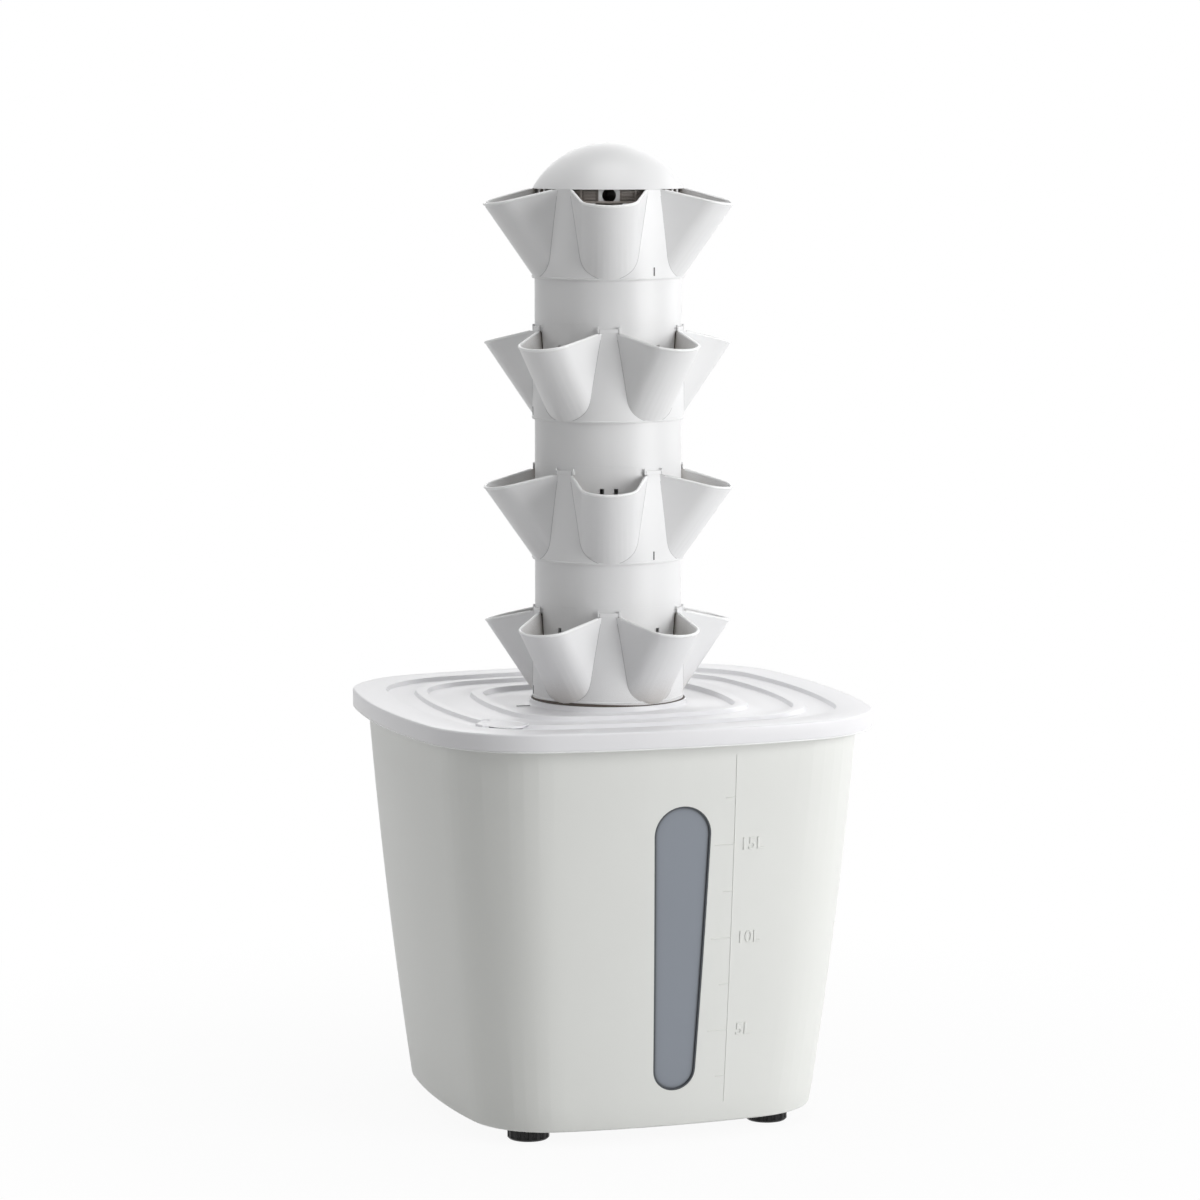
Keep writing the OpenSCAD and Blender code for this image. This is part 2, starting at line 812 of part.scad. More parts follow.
// riser
pump_base_z = tank_base_z + floor_t;
pump_z = pump_base_z + sucker_h;
outlet_l = 10;
outlet_r = riser_bore_r - thread_gap;
riser_low_z = pump_z + pump_h;
riser_mid_share = 0.82;
riser_mid_z = tank_base_z + tank_h * riser_mid_share;
riser_seat = 6;
riser_top_z = tier_z(1) + hub_low + riser_seat;
coupler_wall = 3;
coupler_r = riser_r + coupler_wall;
coupler_l = 30;

module pipe(z0, z1) {
    translate([0, 0, z0])
        difference() {
            cylinder(r = riser_r, h = z1 - z0);
            translate([0, 0, -over])
                cylinder(r = riser_bore_r, h = z1 - z0 + 2 * over);
        }
}

module riser_lower() {
    color(white) pipe(riser_low_z, riser_mid_z);
}

module riser_upper() {
    color(white) pipe(riser_mid_z, riser_top_z);
}

module riser_coupler() {
    color(white)
    translate([0, 0, riser_mid_z - coupler_l / 2])
        difference() {
            cylinder(r = coupler_r, h = coupler_l);
            translate([0, 0, -over])
                cylinder(r = riser_r + thread_gap, h = coupler_l + 2 * over);
        }
}

// pump
pump_front_y = -14;
shaft_z = pump_z + pump_h / 2;
volute_r = 15;
volute_d = 10;
duct_r = 3.5;
duct_roof = 4;
pump_back_t = 5;
pump_shaft_r = 1.5;
bearing_d = 3;
well_d = pump_d - volute_d - bearing_d - pump_back_t;
rotor_r = 9;
rotor_gap = 0.6;
well_r = rotor_r + rotor_gap;
rotor_end_gap = 1;
rotor_l = well_d - 2 * rotor_end_gap;
cover_t = 4;
intake_r = 2.25;
intake_at = 8;
intake_count = 6;
screen_d = 9;
screen_edge = 5;
screen_wall = 2;
blade_count = 6;

module pump_housing() {
    color(black)
    difference() {
        union() {
            translate([-pump_w / 2, pump_front_y, pump_z])
                cube([pump_w, pump_d, pump_h]);
            translate([0, 0, pump_z + pump_h - eps])
                cylinder(r = outlet_r, h = outlet_l);
        }
        translate([0, pump_front_y, shaft_z])
            rotate([-90, 0, 0]) {
                translate([0, 0, -over])
                    cylinder(r = volute_r, h = volute_d + over);
                cylinder(r = well_r, h = volute_d + well_d);
                cylinder(r = pump_shaft_r + thread_gap, h = volute_d + well_d + bearing_d);
            }
        translate([0, pump_front_y + volute_d / 2, shaft_z])
            cylinder(r = duct_r, h = pump_h / 2 - duct_roof);
        translate([-duct_r, pump_front_y + volute_d / 2, pump_z + pump_h - 2 * duct_roof])
            cube([2 * duct_r, -pump_front_y - volute_d / 2, duct_roof]);
        translate([0, 0, pump_z + pump_h - 2 * duct_roof])
            cylinder(r = duct_r, h = 2 * duct_roof + outlet_l + over);
    }
}

module pump_cover() {
    color(black)
    difference() {
        translate([-pump_w / 2, pump_front_y - cover_t, pump_z])
            cube([pump_w, cover_t, pump_h]);
        translate([0, pump_front_y + over, shaft_z])
            rotate([90, 0, 0])
                cylinder(r = pump_shaft_r + thread_gap, h = bearing_d + over);
        for (a = [0 : intake_count - 1])
            translate([0, pump_front_y + over, shaft_z])
                rotate([90, 0, 0])
                    rotate([0, 0, a * 360 / intake_count])
                        translate([intake_at, 0, 0])
                            cylinder(r = intake_r, h = cover_t + 2 * over);
    }
}

screen_bars = 6;
screen_slot_w = 3;
screen_span = pump_w - 2 * screen_edge - screen_slot_w;
function slot_x(b) = -pump_w / 2 + screen_edge + b * screen_span / (screen_bars - 1);

module pump_screen() {
    color(black)
    translate([0, pump_front_y - cover_t, 0])
        difference() {
            translate([-pump_w / 2, -screen_d, pump_z])
                cube([pump_w, screen_d, pump_h]);
            translate([-pump_w / 2 + screen_wall, -screen_d + screen_wall, pump_z + screen_wall])
                cube([pump_w - 2 * screen_wall, screen_d, pump_h - 2 * screen_wall]);
            for (b = [0 : screen_bars - 1])
                translate([slot_x(b), -screen_d - over, pump_z + screen_edge])
                    cube([screen_slot_w, screen_wall + 2 * over, pump_h - 2 * screen_edge]);
        }
}

blade_t = 1.6;
blade_in = 2;
blade_gap = 2;
blade_hub_r = 3.2;
shaft_end_gap = 0.5;

module pump_impeller() {
    color(white)
    translate([0, pump_front_y, shaft_z])
        rotate([-90, 0, 0]) {
            translate([0, 0, volute_d - blade_gap])
                cylinder(r = rotor_r, h = blade_gap + rotor_end_gap + rotor_l);
            translate([0, 0, -bearing_d + shaft_end_gap])
                cylinder(r = pump_shaft_r, h = volute_d + well_d + 2 * bearing_d - 2 * shaft_end_gap);
            translate([0, 0, blade_gap])
                cylinder(r = blade_hub_r, h = volute_d - 2 * blade_gap + eps);
            for (b = [0 : blade_count - 1])
                rotate([0, 0, b * 360 / blade_count])
                    translate([blade_in, -blade_t / 2, blade_gap])
                        cube([volute_r - 2 * blade_gap, blade_t, volute_d - 2 * blade_gap + eps]);
        }
}

sucker_r = 7;
sucker_edge = 1;
sucker_neck_r = 3;
sucker_skirt_h = 3.5;
sucker_cup_r = 3.6;
sucker_cup_d = 0.8;
module suction_foot(i) {
    sx = [-1, 1, 1, -1];
    sy = [0, 0, 1, 1];
    x = sx[i] * (pump_w / 2 - sucker_r - sucker_edge);
    y = pump_front_y + sucker_r + sucker_edge + sy[i] * (pump_d - 2 * sucker_r - 2 * sucker_edge);
    color(black)
    translate([x, y, pump_base_z])
        difference() {
            union() {
                cylinder(r1 = sucker_r, r2 = sucker_neck_r, h = sucker_skirt_h);
                cylinder(r = sucker_neck_r, h = sucker_h);
            }
            translate([0, 0, -over])
                cylinder(r = sucker_cup_r, h = sucker_cup_d + over);
        }
}

module suction_foot_1() { suction_foot(0); }
module suction_foot_2() { suction_foot(1); }
module suction_foot_3() { suction_foot(2); }
module suction_foot_4() { suction_foot(3); }

tank_shell();
level_window();
window_seal();
foot_insert_1();
foot_insert_2();
foot_insert_3();
foot_insert_4();
foot_stud_1();
foot_stud_2();
foot_stud_3();
foot_stud_4();
foot_pad_1();
foot_pad_2();
foot_pad_3();
foot_pad_4();
lid();
fill_cap();
planter_ring_1();
planter_ring_2();
planter_ring_3();
planter_ring_4();
column_tube_1();
column_tube_2();
column_tube_3();
column_tube_4();
drip_tray_1();
drip_tray_2();
drip_tray_3();
drip_tray_4();
distributor();
dome_cap();
riser_lower();
riser_upper();
riser_coupler();
pump_housing();
pump_cover();
pump_screen();
pump_impeller();
suction_foot_1();
suction_foot_2();
suction_foot_3();
suction_foot_4();
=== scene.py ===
import json
import math

import bmesh
import bpy
from mathutils import Matrix, Vector


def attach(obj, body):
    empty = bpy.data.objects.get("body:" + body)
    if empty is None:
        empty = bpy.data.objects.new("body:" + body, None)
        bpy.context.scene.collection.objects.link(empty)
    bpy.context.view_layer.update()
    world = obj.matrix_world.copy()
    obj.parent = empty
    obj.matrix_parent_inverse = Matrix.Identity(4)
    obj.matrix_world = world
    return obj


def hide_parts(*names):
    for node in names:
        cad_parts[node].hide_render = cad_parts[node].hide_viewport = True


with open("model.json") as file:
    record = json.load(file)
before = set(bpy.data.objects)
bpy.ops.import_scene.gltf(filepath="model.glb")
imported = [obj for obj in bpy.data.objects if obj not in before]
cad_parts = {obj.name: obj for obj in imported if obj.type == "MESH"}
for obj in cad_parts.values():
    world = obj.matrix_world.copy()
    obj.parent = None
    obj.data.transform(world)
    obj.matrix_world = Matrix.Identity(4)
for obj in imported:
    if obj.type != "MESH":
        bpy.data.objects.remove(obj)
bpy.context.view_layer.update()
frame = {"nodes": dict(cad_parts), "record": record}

# Sizes are in metres
NODES = frame["nodes"]
BODY_OF = {
    node: body
    for body, members in frame["record"]["behaviour"]["bodies"].items()
    for node in members
}
SLOT_OF = {p["node"]: p["material_slot"] for p in frame["record"]["subparts"]}

# Materials

BROAD_SCALE = 14.0
BROAD_DETAIL = 3.0
FINE_DETAIL = 2.0
COAT_ROUGHNESS = 0.15
ROUGH_SPREAD = 0.05
RELIEF_DEPTH = 0.0001
EDGE_SAMPLES = 4
# How far and how strongly the painted shade deep inside pockets reaches
CAVITY_SHADE_SAMPLES = 6
CAVITY_SHADE_REACH = 0.045
CAVITY_SHADE_FROM = 0.2
CAVITY_SHADE_TO = 0.52
# Reach of the painted shade near the window pane's rim
PANE_SHADE_SAMPLES = 8
PANE_SHADE_REACH = 0.007
TOWER_COLOUR = (0.806, 0.808, 0.812)


def add_node(tree, kind, inputs=()):
    made = tree.nodes.new(kind)
    for name, value in inputs:
        made.inputs[name].default_value = value
    return made


def shade(
        name, colour, rough, bump=0.15, grain=1400.0, mottle=0.02, edge=0.0004, coat=0.0,
        specular=0.5, cavity_shade=None):
    """A moulded plastic or rubber; the last argument, when given, is a painted shade colour mixed in deep
    inside a pocket.
    """
    mat = bpy.data.materials.new(name)
    mat.use_nodes = True
    tree = mat.node_tree
    links = tree.links
    bsdf = tree.nodes["Principled BSDF"]
    bsdf.inputs["Specular IOR Level"].default_value = specular
    bsdf.inputs["Coat Weight"].default_value = coat
    bsdf.inputs["Coat Roughness"].default_value = COAT_ROUGHNESS
    place = tree.nodes.new("ShaderNodeTexCoord")
    fine = add_node(tree, "ShaderNodeTexNoise", (("Scale", grain), ("Detail", FINE_DETAIL)))
    broad = add_node(tree, "ShaderNodeTexNoise", (("Scale", BROAD_SCALE), ("Detail", BROAD_DETAIL)))
    links.new(place.outputs["Object"], fine.inputs["Vector"])
    links.new(place.outputs["Object"], broad.inputs["Vector"])
    tint = add_node(tree, "ShaderNodeMixRGB", (
        ("Color1", (*[c * (1 - mottle) for c in colour], 1)),
        ("Color2", (*[min(1, c * (1 + mottle)) for c in colour], 1))))
    links.new(broad.outputs["Fac"], tint.inputs["Fac"])
    colour_out = tint.outputs["Color"]
    # Painted shade: mixes in the shade colour where ambient occlusion finds the surface closed in
    if cavity_shade:
        near = add_node(tree, "ShaderNodeAmbientOcclusion", (("Distance", CAVITY_SHADE_REACH),))
        near.samples = CAVITY_SHADE_SAMPLES
        ramp = add_node(tree, "ShaderNodeMapRange", (("From Min", CAVITY_SHADE_FROM), ("From Max", CAVITY_SHADE_TO)))
        deep = add_node(tree, "ShaderNodeMixRGB", (("Color1", (*cavity_shade, 1)),))
        links.new(near.outputs["AO"], ramp.inputs["Value"])
        links.new(ramp.outputs["Result"], deep.inputs["Fac"])
        links.new(colour_out, deep.inputs["Color2"])
        colour_out = deep.outputs["Color"]
    links.new(colour_out, bsdf.inputs["Base Color"])
    gloss = add_node(tree, "ShaderNodeMapRange", (
        ("To Min", rough - ROUGH_SPREAD), ("To Max", rough + ROUGH_SPREAD)))
    links.new(broad.outputs["Fac"], gloss.inputs["Value"])
    links.new(gloss.outputs["Result"], bsdf.inputs["Roughness"])
    relief = add_node(tree, "ShaderNodeBump", (("Strength", bump), ("Distance", RELIEF_DEPTH)))
    links.new(fine.outputs["Fac"], relief.inputs["Height"])
    if edge:
        soft_edge = add_node(tree, "ShaderNodeBevel", (("Radius", edge),))
        soft_edge.samples = EDGE_SAMPLES
        links.new(soft_edge.outputs["Normal"], relief.inputs["Normal"])
    links.new(relief.outputs["Normal"], bsdf.inputs["Normal"])
    return mat


def paint_shade_near_edges(mat):
    """Paint shade on the pane, darker towards the rim that stands around it."""
    tree = mat.node_tree
    bsdf = tree.nodes["Principled BSDF"]
    plain = bsdf.inputs["Base Color"].links[0].from_socket
    shadow = add_node(tree, "ShaderNodeAmbientOcclusion", (("Distance", PANE_SHADE_REACH),))
    shadow.samples = PANE_SHADE_SAMPLES
    deep = add_node(tree, "ShaderNodeMixRGB", (("Fac", 1.0),))
    deep.blend_type = "MULTIPLY"
    tree.links.new(plain, shadow.inputs["Color"])
    tree.links.new(shadow.outputs["Color"], deep.inputs["Color1"])
    tree.links.new(shadow.outputs["AO"], deep.inputs["Color2"])
    tree.links.new(deep.outputs["Color"], bsdf.inputs["Base Color"])


MATS = {
    "tank_plastic": shade("tank_plastic", (0.785, 0.794, 0.768), 0.42, bump=0.25, grain=1600, mottle=0.012),
    "smoked_window": shade("smoked_window", (0.245, 0.27, 0.31), 0.34, bump=0.05, edge=0, coat=0.15),
    "seal_rubber": shade("seal_rubber", (0.06, 0.066, 0.075), 0.55, bump=0.1, edge=0.0003),
    "lid_plastic": shade("lid_plastic", (0.842, 0.84, 0.858), 0.3, bump=0.06, mottle=0.008),
    "tower_plastic": shade("tower_plastic", TOWER_COLOUR, 0.38, bump=0.15, mottle=0.01),
    # Ring plastic with painted shade deep inside its pockets
    "ring_plastic_painted_shade": shade(
        "ring_plastic_painted_shade", TOWER_COLOUR, 0.38, bump=0.15, mottle=0.01, cavity_shade=(0.57, 0.54, 0.51)),
    "foot_plastic": shade("foot_plastic", (0.003, 0.003, 0.0035), 0.36, bump=0.2, mottle=0.1, specular=0.3),
    "insert_brass": shade("insert_brass", (0.72, 0.55, 0.28), 0.3, bump=0.2),
    "pipe_plastic": shade("pipe_plastic", (0.8, 0.8, 0.795), 0.3, bump=0.05),
    "pump_plastic": shade("pump_plastic", (0.02, 0.021, 0.024), 0.45, bump=0.4, mottle=0.1),
    "rotor_plastic": shade("rotor_plastic", (0.6, 0.6, 0.62), 0.35),
    "sucker_rubber": shade("sucker_rubber", (0.03, 0.03, 0.033), 0.6, bump=0.2),
    # Dark grey brown of the distributor: partly its own brownish tint and partly painted shade of the tower's
    # inside
    "inner_grey": shade("inner_grey", (0.36, 0.325, 0.3), 0.4, bump=0.2, mottle=0.12),
    # Lighter, glossier copy of the tower plastic: a painted highlight on the pocket lips and the lid's lower
    # edge
    "lip_highlight_plastic": shade("lip_highlight_plastic", (0.9, 0.905, 0.905), 0.27, bump=0.03, mottle=0.005, edge=0),
    # Near black brown for painted shadow strips in gaps
    "gap_shadow_brown": shade("gap_shadow_brown", (0.1, 0.082, 0.07), 0.6, bump=0.1, edge=0),
    # Mid grey for painted shade along the pocket creases and for the seams beside the lugs
    "seam_and_crease_shade_grey": shade("seam_and_crease_shade_grey", (0.53, 0.53, 0.535), 0.5, bump=0.05, edge=0),
    # Dark grey for the lock marks and for the painted shadow under the filler cap
    "mark_and_shadow_grey": shade("mark_and_shadow_grey", (0.12, 0.12, 0.125), 0.6, edge=0),
}
# Painted shade on the window pane near its rim
paint_shade_near_edges(MATS["smoked_window"])
MATS["insert_brass"].node_tree.nodes["Principled BSDF"].inputs["Metallic"].default_value = 1.0

for node_name, cad_object in NODES.items():
    cad_object.data.materials.clear()
    cad_object.data.materials.append(MATS[SLOT_OF[node_name]])

# Helpers

# Edges that turn less than these angles, in degrees, are smoothed
SKIN_ANGLE = 28
PLATE_ANGLE = 30
FLAT_ANGLE = 32
CAP_ANGLE = 35
LINE_ANGLE = 40
LIP_ANGLE = 50
WIRE_ANGLE = 60
SKIN_WELD = 2e-6
ROUND_STEPS = 128


def finish_mesh(bm, name, body, slot, mat=None, angle=FLAT_ANGLE, swaps=(), smooth=True):
    """Makes the mesh a named piece that rides on a CAD body and wears the look of its slot, or mat."""
    limit = math.radians(angle)
    for face in bm.faces:
        face.smooth = smooth
    for edge in bm.edges:
        edge.smooth = len(edge.link_faces) == 2 and edge.calc_face_angle(0.0) < limit
    mesh = bpy.data.meshes.new(name)
    bm.to_mesh(mesh)
    bm.free()
    mesh.materials.append(MATS[mat or slot])
    obj = bpy.data.objects.new(name, mesh)
    bpy.context.scene.collection.objects.link(obj)
    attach(obj, body)
    if swaps:
        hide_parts(*swaps)


def finish_outward(bm, name, body, slot, **looks):
    """Turns every face outward first."""
    bmesh.ops.recalc_face_normals(bm, faces=bm.faces)
    finish_mesh(bm, name, body, slot, **looks)


def node_mesh(node):
    bm = bmesh.new()
    bm.from_mesh(NODES[node].data)
    bmesh.ops.remove_doubles(bm, verts=bm.verts, dist=SKIN_WELD)
    return bm


def skin(node, mat=None):
    """A node's own CAD shape, welded and smoothed."""
    bm = node_mesh(node)
    bmesh.ops.dissolve_degenerate(bm, edges=bm.edges, dist=SKIN_WELD)
    finish_mesh(
        bm, node + "_skin", BODY_OF[node], SLOT_OF[node], mat=mat, angle=SKIN_ANGLE, swaps=(node,))


def loops_to_mesh(bm, loops, closed=True):
    """Joins each loop of points to the next with faces, and the last to the first where it is closed."""
    rows = [[bm.verts.new(p) for p in loop] for loop in loops]
    n = len(rows[0])
    pairs = list(zip(rows, rows[1:])) + ([(rows[-1], rows[0])] if closed else [])
    for low, high in pairs:
        for i in range(n):
            j = (i + 1) % n
            bm.faces.new((low[i], low[j], high[j], high[i]))
    return rows


def capped_loops(bm, loops):
    rows = loops_to_mesh(bm, loops, closed=False)
    bm.faces.new(rows[0])
    bm.faces.new(list(reversed(rows[-1])))


def lathe(bm, profile, centre=(0, 0, 0), steps=ROUND_STEPS):
    """Turns a profile of radii and heights around Z."""
    turns = [2 * math.pi * i / steps for i in range(steps)]
    loops_to_mesh(bm, [
        [Vector((centre[0] + r * math.cos(a), centre[1] + r * math.sin(a), centre[2] + z)) for a in turns]
        for r, z in profile])


def block(bm, size, matrix):
    made = bmesh.ops.create_cube(bm, size=1.0)
    bmesh.ops.scale(bm, vec=Vector(size), verts=made["verts"])
    bmesh.ops.transform(bm, matrix=matrix, verts=made["verts"])
    return made["verts"]


def sweep(bm, path, radius, sides, closed=False):
    """A round bar along a path."""
    n = len(path)
    rows = []
    for i, p in enumerate(path):
        a = path[(i - 1) % n] if closed or i else path[0]
        b = path[(i + 1) % n] if closed or i < n - 1 else path[-1]
        ahead = (b - a).normalized()
        side = ahead.cross(Vector((0, 0, 1))).normalized()
        up = side.cross(ahead).normalized()
        turns = [2 * math.pi * k / sides for k in range(sides)]
        rows.append([p + side * (radius * math.cos(t)) + up * (radius * math.sin(t)) for t in turns])
    if closed:
        loops_to_mesh(bm, rows)
    else:
        capped_loops(bm, rows)


def rough_object(bm, name):
    mesh = bpy.data.meshes.new(name)
    bmesh.ops.recalc_face_normals(bm, faces=bm.faces)
    bm.to_mesh(mesh)
    bm.free()
    obj = bpy.data.objects.new(name, mesh)
    bpy.context.scene.collection.objects.link(obj)
    return obj


def cut_mesh(bm, cutters):
    """The mesh with every cutter taken out of it."""
    obj = rough_object(bm, "cut_body")
    for cutter in cutters:
        mod = obj.modifiers.new("cut", "BOOLEAN")
        mod.operation = "DIFFERENCE"
        mod.solver = "EXACT"
        mod.object = cutter
    bpy.context.view_layer.update()
    graph = bpy.context.evaluated_depsgraph_get()
    mesh = bpy.data.meshes.new_from_object(obj.evaluated_get(graph))
    cut = bmesh.new()
    cut.from_mesh(mesh)
    for spent in (obj, *cutters):
        old = spent.data
        bpy.data.objects.remove(spent)
        bpy.data.meshes.remove(old)
    bpy.data.meshes.remove(mesh)
    return cut


def can(radius, z0, z1, centre, steps=64):
    """A round cutter that stands on Z."""
    bm = bmesh.new()
    bmesh.ops.create_cone(bm, cap_ends=True, segments=steps, radius1=radius, radius2=radius, depth=z1 - z0)
    bmesh.ops.translate(bm, vec=Vector((centre[0], centre[1], (z0 + z1) / 2)), verts=bm.verts)
    return rough_object(bm, "cutter")


def box_cutter(low, high):
    """A cutter with square edges, between two corners."""
    bm = bmesh.new()
    low, high = Vector(low), Vector(high)
    block(bm, high - low, Matrix.Translation((low + high) / 2))
    return rough_object(bm, "cutter")


def quarter(steps):
    """Angles from zero to a right angle, in equal steps."""
    return [math.pi / 2 * i / steps for i in range(steps + 1)]


# Outline of the tank and lid: four rounded corners joined by slightly bowed sides

CORNER_STEPS = 18
SIDE_STEPS = 18
BOW_SHARE = 0.75


def side_radius(half, bow):
    """Radius of a side that bows out by the given amount over its share of the half width."""
    return ((half * BOW_SHARE) ** 2 + bow * bow) / (2 * bow)


def outline(half, corner, bow, z):
    rs = side_radius(half, bow)
    d = rs - half
    k = (-d + math.sqrt(d * d - 2 * (d * d - (rs - corner) ** 2))) / 2
    a = math.atan2(k - half + rs, k)
    part = []
    for i in range(CORNER_STEPS + 1):
        t = math.pi / 2 - a + (2 * a - math.pi / 2) * i / CORNER_STEPS
        part.append((k + corner * math.cos(t), k + corner * math.sin(t)))
    for j in range(1, SIDE_STEPS):
        t = a + (math.pi - 2 * a) * j / SIDE_STEPS
        part.append((rs * math.cos(t), half - rs + rs * math.sin(t)))
    points = []
    for q in range(4):
        c, s = round(math.cos(q * math.pi / 2)), round(math.sin(q * math.pi / 2))
        points += [Vector((p[0] * c - p[1] * s, p[0] * s + p[1] * c, z)) for p in part]
    return points


# Tank

FOOT_H = 0.0108
TANK_H = 0.2949
RIM_H = 0.003
TANK_BASE_Z = FOOT_H
TANK_TOP_Z = TANK_BASE_Z + TANK_H
WALL_TOP_Z = TANK_TOP_Z - RIM_H
TANK_BASE_HALF = 0.137
TANK_TOP_HALF = 0.1658
TANK_BOW = 0.009
TANK_BELLY = 0.0023
BELLY_CUTS = 14
BELLY_WELD = 1e-6
WALL_SHARE = 0.8
TANK_ANGLE = 24
WINDOW_ANGLE = 40


def tank_share(z):
    return min(1, max(0, (z - TANK_BASE_Z) / (WALL_TOP_Z - TANK_BASE_Z)))


def tank_half(z):
    return TANK_BASE_HALF + (TANK_TOP_HALF - TANK_BASE_HALF) * tank_share(z)


def belly_scale(z):
    """How much the tank's outline swells at height z, most of all half way up."""
    share = tank_share(z)
    return 1 + TANK_BELLY * 4 * share * (1 - share) / tank_half(z)


def tank_front(x, z, proud):
    """The point at x and z that stands proud of the tank's front by the given length."""
    half = tank_half(z)
    swell = belly_scale(z)
    rs = side_radius(half, TANK_BOW)
    return Vector((x, -swell * (half - rs + math.sqrt(rs * rs - (x / swell) ** 2)) - proud, z))


def swollen_skin(node, angle):
    """A tank node's own shape, with its wall swelling a little half way up."""
    bm = node_mesh(node)
    for j in range(1, BELLY_CUTS):
        z = TANK_BASE_Z + (WALL_TOP_Z - TANK_BASE_Z) * j / BELLY_CUTS
        geom = bm.verts[:] + bm.edges[:] + bm.faces[:]
        bmesh.ops.bisect_plane(bm, geom=geom, plane_co=(0, 0, z), plane_no=(0, 0, 1), dist=BELLY_WELD)
    for v in bm.verts:
        if max(abs(v.co.x), abs(v.co.y)) > WALL_SHARE * tank_half(v.co.z):
            swell = belly_scale(v.co.z)
            v.co.x *= swell
            v.co.y *= swell
    finish_mesh(bm, node + "_skin", BODY_OF[node], SLOT_OF[node], angle=angle, swaps=(node,))


swollen_skin("tank_shell", TANK_ANGLE)
swollen_skin("level_window", WINDOW_ANGLE)
swollen_skin("window_seal", WINDOW_ANGLE)

SCALE_X = 0.0432
SCALE_LOW = TANK_BASE_Z + 0.016
SCALE_HIGH = TANK_BASE_Z + 0.2775
MARK_W = 0.0008
MARK_H = 0.00026
MARK_SINK = 0.0002
MARK_SOFT = 0.35
MARK_CELLS = 24
MARK_ANGLE = 25
LONG_TICK_X = 0.028
SHORT_TICK_X = 0.0357
TICK_RISE = 0.0004
TOP_TICK = 0.2461
TICK_STEP = 0.03503
LONG_TICKS = [TANK_BASE_Z + TOP_TICK - TICK_STEP * i for i in (1, 3, 5)]
SHORT_TICKS = [TANK_BASE_Z + TOP_TICK - TICK_STEP * i for i in (0, 2, 4, 6)]
NUMBER_X = 0.0502
NUMBER_H = 0.0092
NUMBER_RISE = 0.0005
NUMBER_EXTRUDE = 0.02
NUMBER_BEVEL = 0.012
NUMBER_ANGLE = 30


def front_strip(bm, x0, x1, z0, z1, height=MARK_H):
    """A raised rib on the tank's front, with soft long edges."""
    wide = x1 - x0 > z1 - z0
    nx, nz = (MARK_CELLS, 1) if wide else (1, MARK_CELLS)
    grid = {}
    for i in range(nx + 1):
        for j in range(nz + 1):
            x = x0 + (x1 - x0) * i / nx
            z = z0 + (z1 - z0) * j / nz
            cx = x + (0 if wide else (1 if i == 0 else -1) * MARK_SOFT * (x1 - x0) / 2)
            cz = z + (0 if not wide else (1 if j == 0 else -1) * MARK_SOFT * (z1 - z0) / 2)
            grid[i, j] = (
                bm.verts.new(tank_front(x, z, -MARK_SINK)),
                bm.verts.new(tank_front(cx, cz, height)))
    for i in range(nx):
        for j in range(nz):
            bm.faces.new([grid[i, j][1], grid[i + 1, j][1], grid[i + 1, j + 1][1], grid[i, j + 1][1]])
    for i in range(nx):
        bm.faces.new([grid[i, 0][0], grid[i + 1, 0][0], grid[i + 1, 0][1], grid[i, 0][1]])
        bm.faces.new([grid[i, nz][1], grid[i + 1, nz][1], grid[i + 1, nz][0], grid[i, nz][0]])
    for j in range(nz):
        bm.faces.new([grid[0, j][1], grid[0, j + 1][1], grid[0, j + 1][0], grid[0, j][0]])
        bm.faces.new([grid[nx, j][0], grid[nx, j + 1][0], grid[nx, j + 1][1], grid[nx, j][1]])


bm = bmesh.new()
front_strip(bm, SCALE_X - MARK_W / 2, SCALE_X + MARK_W / 2, SCALE_LOW, SCALE_HIGH)
for tick_x, ticks in ((LONG_TICK_X, LONG_TICKS), (SHORT_TICK_X, SHORT_TICKS)):
    for z in ticks:
        front_strip(bm, tick_x, SCALE_X, z - MARK_W / 2, z + MARK_W / 2, TICK_RISE)
finish_outward(bm, "volume_scale", "tank", "tank_plastic", angle=MARK_ANGLE)


def number(words, z):
    """Plain raised digits and a letter on the tank's front, centred on height z."""
    curve = bpy.data.curves.new("digits", "FONT")
    curve.body = words
    curve.size = 1.0
    curve.extrude = NUMBER_EXTRUDE
    curve.bevel_depth = NUMBER_BEVEL
    curve.bevel_resolution = 1
    holder = bpy.data.objects.new("digits", curve)
    bpy.context.scene.collection.objects.link(holder)
    bpy.context.view_layer.update()
    mesh = bpy.data.meshes.new_from_object(holder.evaluated_get(bpy.context.evaluated_depsgraph_get()))
    bpy.data.objects.remove(holder)
    high = max(v.co.y for v in mesh.vertices)
    low = min(v.co.y for v in mesh.vertices)
    left = min(v.co.x for v in mesh.vertices)
    size = NUMBER_H / (high - low)
    for v in mesh.vertices:
        lift = NUMBER_RISE if v.co.z > 0 else -MARK_SINK
        v.co = tank_front(NUMBER_X + (v.co.x - left) * size, z + (v.co.y - (high + low) / 2) * size, lift)
    part = bmesh.new()
    part.from_mesh(mesh)
    bpy.data.meshes.remove(mesh)
    return part


for words, z in zip(("15L", "10L", "5L"), LONG_TICKS):
    finish_mesh(number(words, z), "volume_" + words, "tank", "tank_plastic", angle=NUMBER_ANGLE)

# Lid

LID_HALF = 0.1797
LID_CORNER = 0.086
LID_BOW = 0.015
LID_TOP_Z = TANK_TOP_Z + 0.0051
LID_LOW_Z = LID_TOP_Z - 0.0135
LID_LINE_R = 0.0006
LID_LINE_IN = 0.0001
LID_LINE_RISE = 1.8
LID_LINE_STEPS = 4
LID_LINE_SIDES = 8
LID_EDGE_R = 0.0016
LID_EDGE_SHARE = 0.75
LID_EDGE_STEPS = 8
LID_EDGE_RUN = 0.006
SKIRT_T = 0.0025
